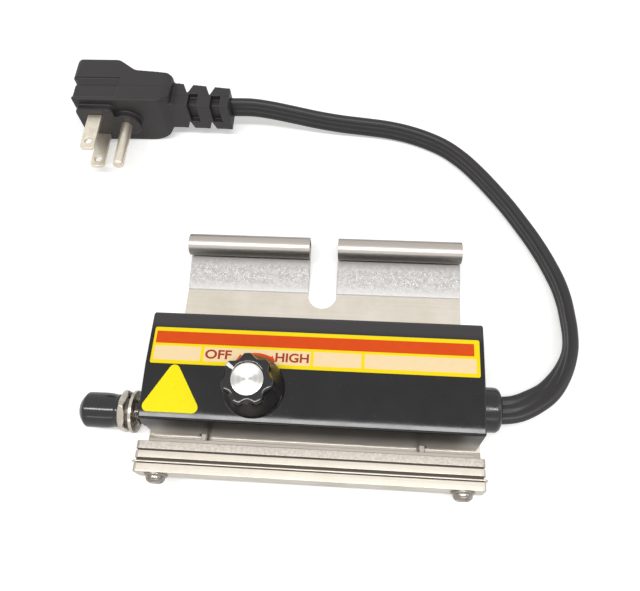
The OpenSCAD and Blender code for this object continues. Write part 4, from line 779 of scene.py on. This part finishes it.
for word, x0, x1, y0, y1 in labelSet["words"]:
    text = bpy.data.curves.new(word, "FONT")
    text.body, text.extrude, text.offset, text.resolution_u = word, 0.02, labelSet["bold"], 6
    mesh = evaluated(inScene(word, text))
    low = [min(v.co[i] for v in mesh.vertices) for i in range(3)]
    high = [max(v.co[i] for v in mesh.vertices) for i in range(3)]
    size = [wanted / (high[i] - low[i]) for i, wanted in enumerate((x1 - x0, y1 - y0, labelSet["inkT"]))]
    for v in mesh.vertices:
        v.co = [(base + (v.co[i] - low[i]) * size[i]) * mm for i, base in enumerate((x0, y0, zInk))]
    addPiece("word" + word.capitalize(), mesh, inkFilm, "heater")
arc = labelSet["arc"]
r, start, end, wide, head = arc["r"], arc["from"], arc["to"], arc["w"] / 2, arc["headW"] / 2
headTurn = math.degrees(arc["headL"] / r)
arrow = arcPoints(arc["middle"], r + wide, start, end, 24)
arrow += [onCircle(arc["middle"], *q) for q in ((r + head, end), (r, end + headTurn), (r - head, end))]
arrow += arcPoints(arc["middle"], r - wide, end, start, 24)
arrow += [onCircle(arc["middle"], *q) for q in ((r - head, start), (r, start - headTurn), (r + head, start))]
mesh = meshFrom("turnArrow", prism(arrow, "z", zInk, zInk + labelSet["inkT"]))
addPiece("turnArrow", mesh, redFilm, "heater")
easedPiece("cornerSticker", "corner_sticker", 0.08, 2, yellowVinyl, "sticker_vinyl")
print("cover and label done")

knobSet = {"seat": (-20.3, -7.8, 24.0958), "tilt": 6, "lobes": 7, "flute": 1.5, "fluteWide": 0.72, "pointer": 146,
           # radius, height and how much of the flute shows at that height
           "profile": [(7.93, 0.7, 0), (10.4, 0.7, 0), (10.85, 0.82, 0), (11.0, 1.15, 0), (11.0, 1.6, 0),
                       (10.93, 2.3, 0.04), (10.8, 3.0, 0.09), (10.6, 4.0, 0.17), (10.32, 5.2, 0.28),
                       (10.0, 6.6, 0.42), (9.68, 8.2, 0.57), (9.42, 9.8, 0.72), (9.22, 11.4, 0.86),
                       (9.08, 12.6, 0.95), (9.0, 13.2, 1),
                       (8.9, 13.65, 1), (8.72, 13.95, 1), (8.45, 14.1, 1), (8.2, 14.135, 0.97), (7.6, 14.2, 0.85),
                       (6.9, 14.19, 0.5), (6.2, 14.14, 0.15), (5.75, 14.1, 0), (5.58, 14.0, 0), (5.52, 13.7, 0),
                       (0, 13.7, 0)],
           "hollow": [(7.93, 0.7), (7.93, 3.2), (5.35, 3.2), (5.35, 5.6), (3.2, 5.6), (3.2, 12.6), (0, 12.6)]}
knobPlace = Matrix.Translation([v * mm for v in knobSet["seat"]])
knobPlace = knobPlace @ Matrix.Rotation(math.radians(knobSet["tilt"]), 4, "X")


def lobed(radius, angle, row):
    share = knobSet["profile"][row][2]
    turn = ((angle - math.radians(knobSet["pointer"])) * knobSet["lobes"] / math.pi) % 2 - 1  # 0 amid a flute
    return radius - knobSet["flute"] * share * max(0, 1 - (turn / knobSet["fluteWide"]) ** 2) ** 1.1


outer = spin([(r, h) for r, h, _ in knobSet["profile"]], 224, lobed)
mesh = meshFrom("knobBody", joinSolids([outer, spin(knobSet["hollow"], 224)]), weld=True)
addPiece("knobBody", mesh, knobPhenolic, "knob", ["knob"], knobPlace, 50)

inlaySet = {"r": 5.5, "low": 13.72, "face": 14.22, "edge": 0.18, "dish": 0.06, "rings": 8}
r, face, edge = inlaySet["r"], inlaySet["face"], inlaySet["edge"]
profile = [(0, inlaySet["low"]), (r, inlaySet["low"]), (r, face - edge), (r - edge * 0.3, face - edge * 0.3)]
shares = [n / inlaySet["rings"] for n in range(inlaySet["rings"] + 1)]
profile += [((r - edge) * (1 - share), face - inlaySet["dish"] * share) for share in shares]
addPiece("knobInlay", meshFrom("knobInlay", spin(profile)), spunAluminium, "knob", ["knob_inlay"],
         knobPlace, 30)

# painted stroke from the inlay over the rim: radius, height and how far it has turned down
markSet = {"wide": (0.9, 1.5), "skin": 0.06, "root": 0.25,
           "line": [(5.75, 14.12, 0.0), (6.4, 14.16, 0.2), (7.2, 14.2, 0.5), (7.9, 14.22, 0.65), (8.3, 14.15, 0.75),
                    (8.62, 13.97, 0.85), (8.87, 13.65, 0.95), (9.01, 13.2, 1.0), (9.06, 12.4, 1.0)]}
rings = []
for r, h, t in markSet["line"]:
    wide = (markSet["wide"][0] + (markSet["wide"][1] - markSet["wide"][0]) * t) / 2
    outR, outH = r + markSet["skin"] * t, h + markSet["skin"] * (1 - t * 0.5)
    inR, inH = r - markSet["root"] * t, h - markSet["root"] * (1 - t * 0.6)
    rings.append([(outR, -wide, outH), (outR, wide, outH), (inR, wide, inH), (inR, -wide, inH)])
markPlace = knobPlace @ Matrix.Rotation(math.radians(knobSet["pointer"]), 4, "Z")
addPiece("knobMark", meshFrom("knobMark", tubeSkin(rings)), strokePaint, "knob", ["knob_pointer"],
         markPlace)
print("knob done")

studSet = {"root": (-60.0, -15.0, 9.7), "threadR": 5.0, "threadDeep": 0.75, "pitch": 1.55, "collar": 4.6,
           "around": 72, "along": 40}
studPlace = Matrix.Translation([v * mm for v in studSet["root"]]) @ Matrix.Rotation(math.radians(-90), 4, "Y")
rings = []
for row in range(studSet["along"] + 1):
    h = studSet["collar"] * row / studSet["along"]
    ring = []
    for n in range(studSet["around"]):
        phase = (h / studSet["pitch"] - n / studSet["around"]) % 1.0
        r = studSet["threadR"] - studSet["threadDeep"] * (0.5 - 0.5 * math.cos(2 * math.pi * phase)) ** 0.8
        ring.append((*onCircle((0, 0), r, 360 * n / studSet["around"]), h))
    rings.append(ring)
addPiece("studThread", meshFrom("studThread", tubeSkin(rings)), dullNickel, "heater",
         ["stud_collar"], studPlace, 60)

# the cap as radius and height: its bore, its waisted side and its blunt end
capSet = {"bore": [(0, 22.6), (3.75, 22.6), (4.15, 22.2)],
          "side": [(4.15, 10.08), (5.6, 10.08), (5.95, 10.2), (6.12, 10.5), (6.14, 11.0), (6.04, 11.5),
                   (5.98, 12.0), (6.04, 12.6), (6.2, 13.4), (6.36, 14.4), (6.46, 15.6), (6.5, 17.2), (6.48, 20.8)],
          "end": [(6.47, 22.5), (6.36, 22.95), (6.1, 23.32), (5.6, 23.8), (5.05, 24.28), (4.4, 24.78), (3.7, 25.2),
                  (2.9, 25.5), (2.0, 25.7), (1.0, 25.8), (0, 25.82)]}
profile = capSet["bore"] + capSet["side"] + capSet["end"]
addPiece("studCap", meshFrom("studCap", spin(profile)), dippedVinyl, "cap", ["stud_cap"],
         studPlace, 55)

# pieces that are their CAD shape with eased edges: node, edge width in mm, rows, finish, slot
easedSet = {
    "studNut": ("stud_nut", 0.35, 3, nickelPlate, "plated_steel"),
    "studWasher": ("stud_washer", 0.2, 2, nickelPlate, "plated_steel"),
    "studLockWasher": ("stud_lock_washer", 0.2, 2, oiledSpring, "spring_steel"),
    "hookSheet": ("hook_sheet", 0.14, 2, rolledStainless, "stainless_sheet", 11),  # and its crease
    "rearBar": ("rear_bar", 0.18, 2, shearedSteel, "bar_steel"),
    "heatBar": ("heat_bar", 0.14, 2, groundSteel, "bar_steel"),
    "heatShim": ("heat_shim", 0.1, 2, groundSteel, "bar_steel"),
    "frontBar": ("front_bar", 0.16, 2, groundSteel, "bar_steel"),
    "barScrews": ("bar_screws", 0.25, 3, dullNickel, "plated_steel"),
    "glandBody": ("gland_body", 0.25, 3, glandNylon, "gland_nylon"),
    "glandClamp": ("gland_clamp", 0.25, 3, glandNylon, "gland_nylon")}
for name, row in easedSet.items():
    easedPiece(name, *row)
print("stud and metalwork done")

# CAD nodes that keep their shape, by finish
keptSet = [
    (nickelPlate, ["cover_rivets", "control_plate", "control_shaft", "panel_washer", "panel_nut", "side_stud",
                   "thermal_cutout"]),
    (pressedMica, ["rear_mica", "front_mica", "heating_element"]),
    (brownPhenolic, ["control_case", "control_cam"]),
    (stampedBrass, ["control_tabs", "earth_stud", "earth_lug", "earth_nut"]),
    (naturalNylon, ["tab_sleeves", "splice_cap"]),
    (oiledSpring, ["knob_set_screw"]),
    (glassSleeve, ["heater_leads"]),
    *[(coat, [wire]) for wire, coat in wireCoats.items()]]
for finish, names in keptSet:
    for kept in (nodes[name] for name in names):
        if not kept.material_slots:
            kept.data.materials.append(finish)
        for socket in kept.material_slots:
            socket.material = finish
print("inner pieces finished")
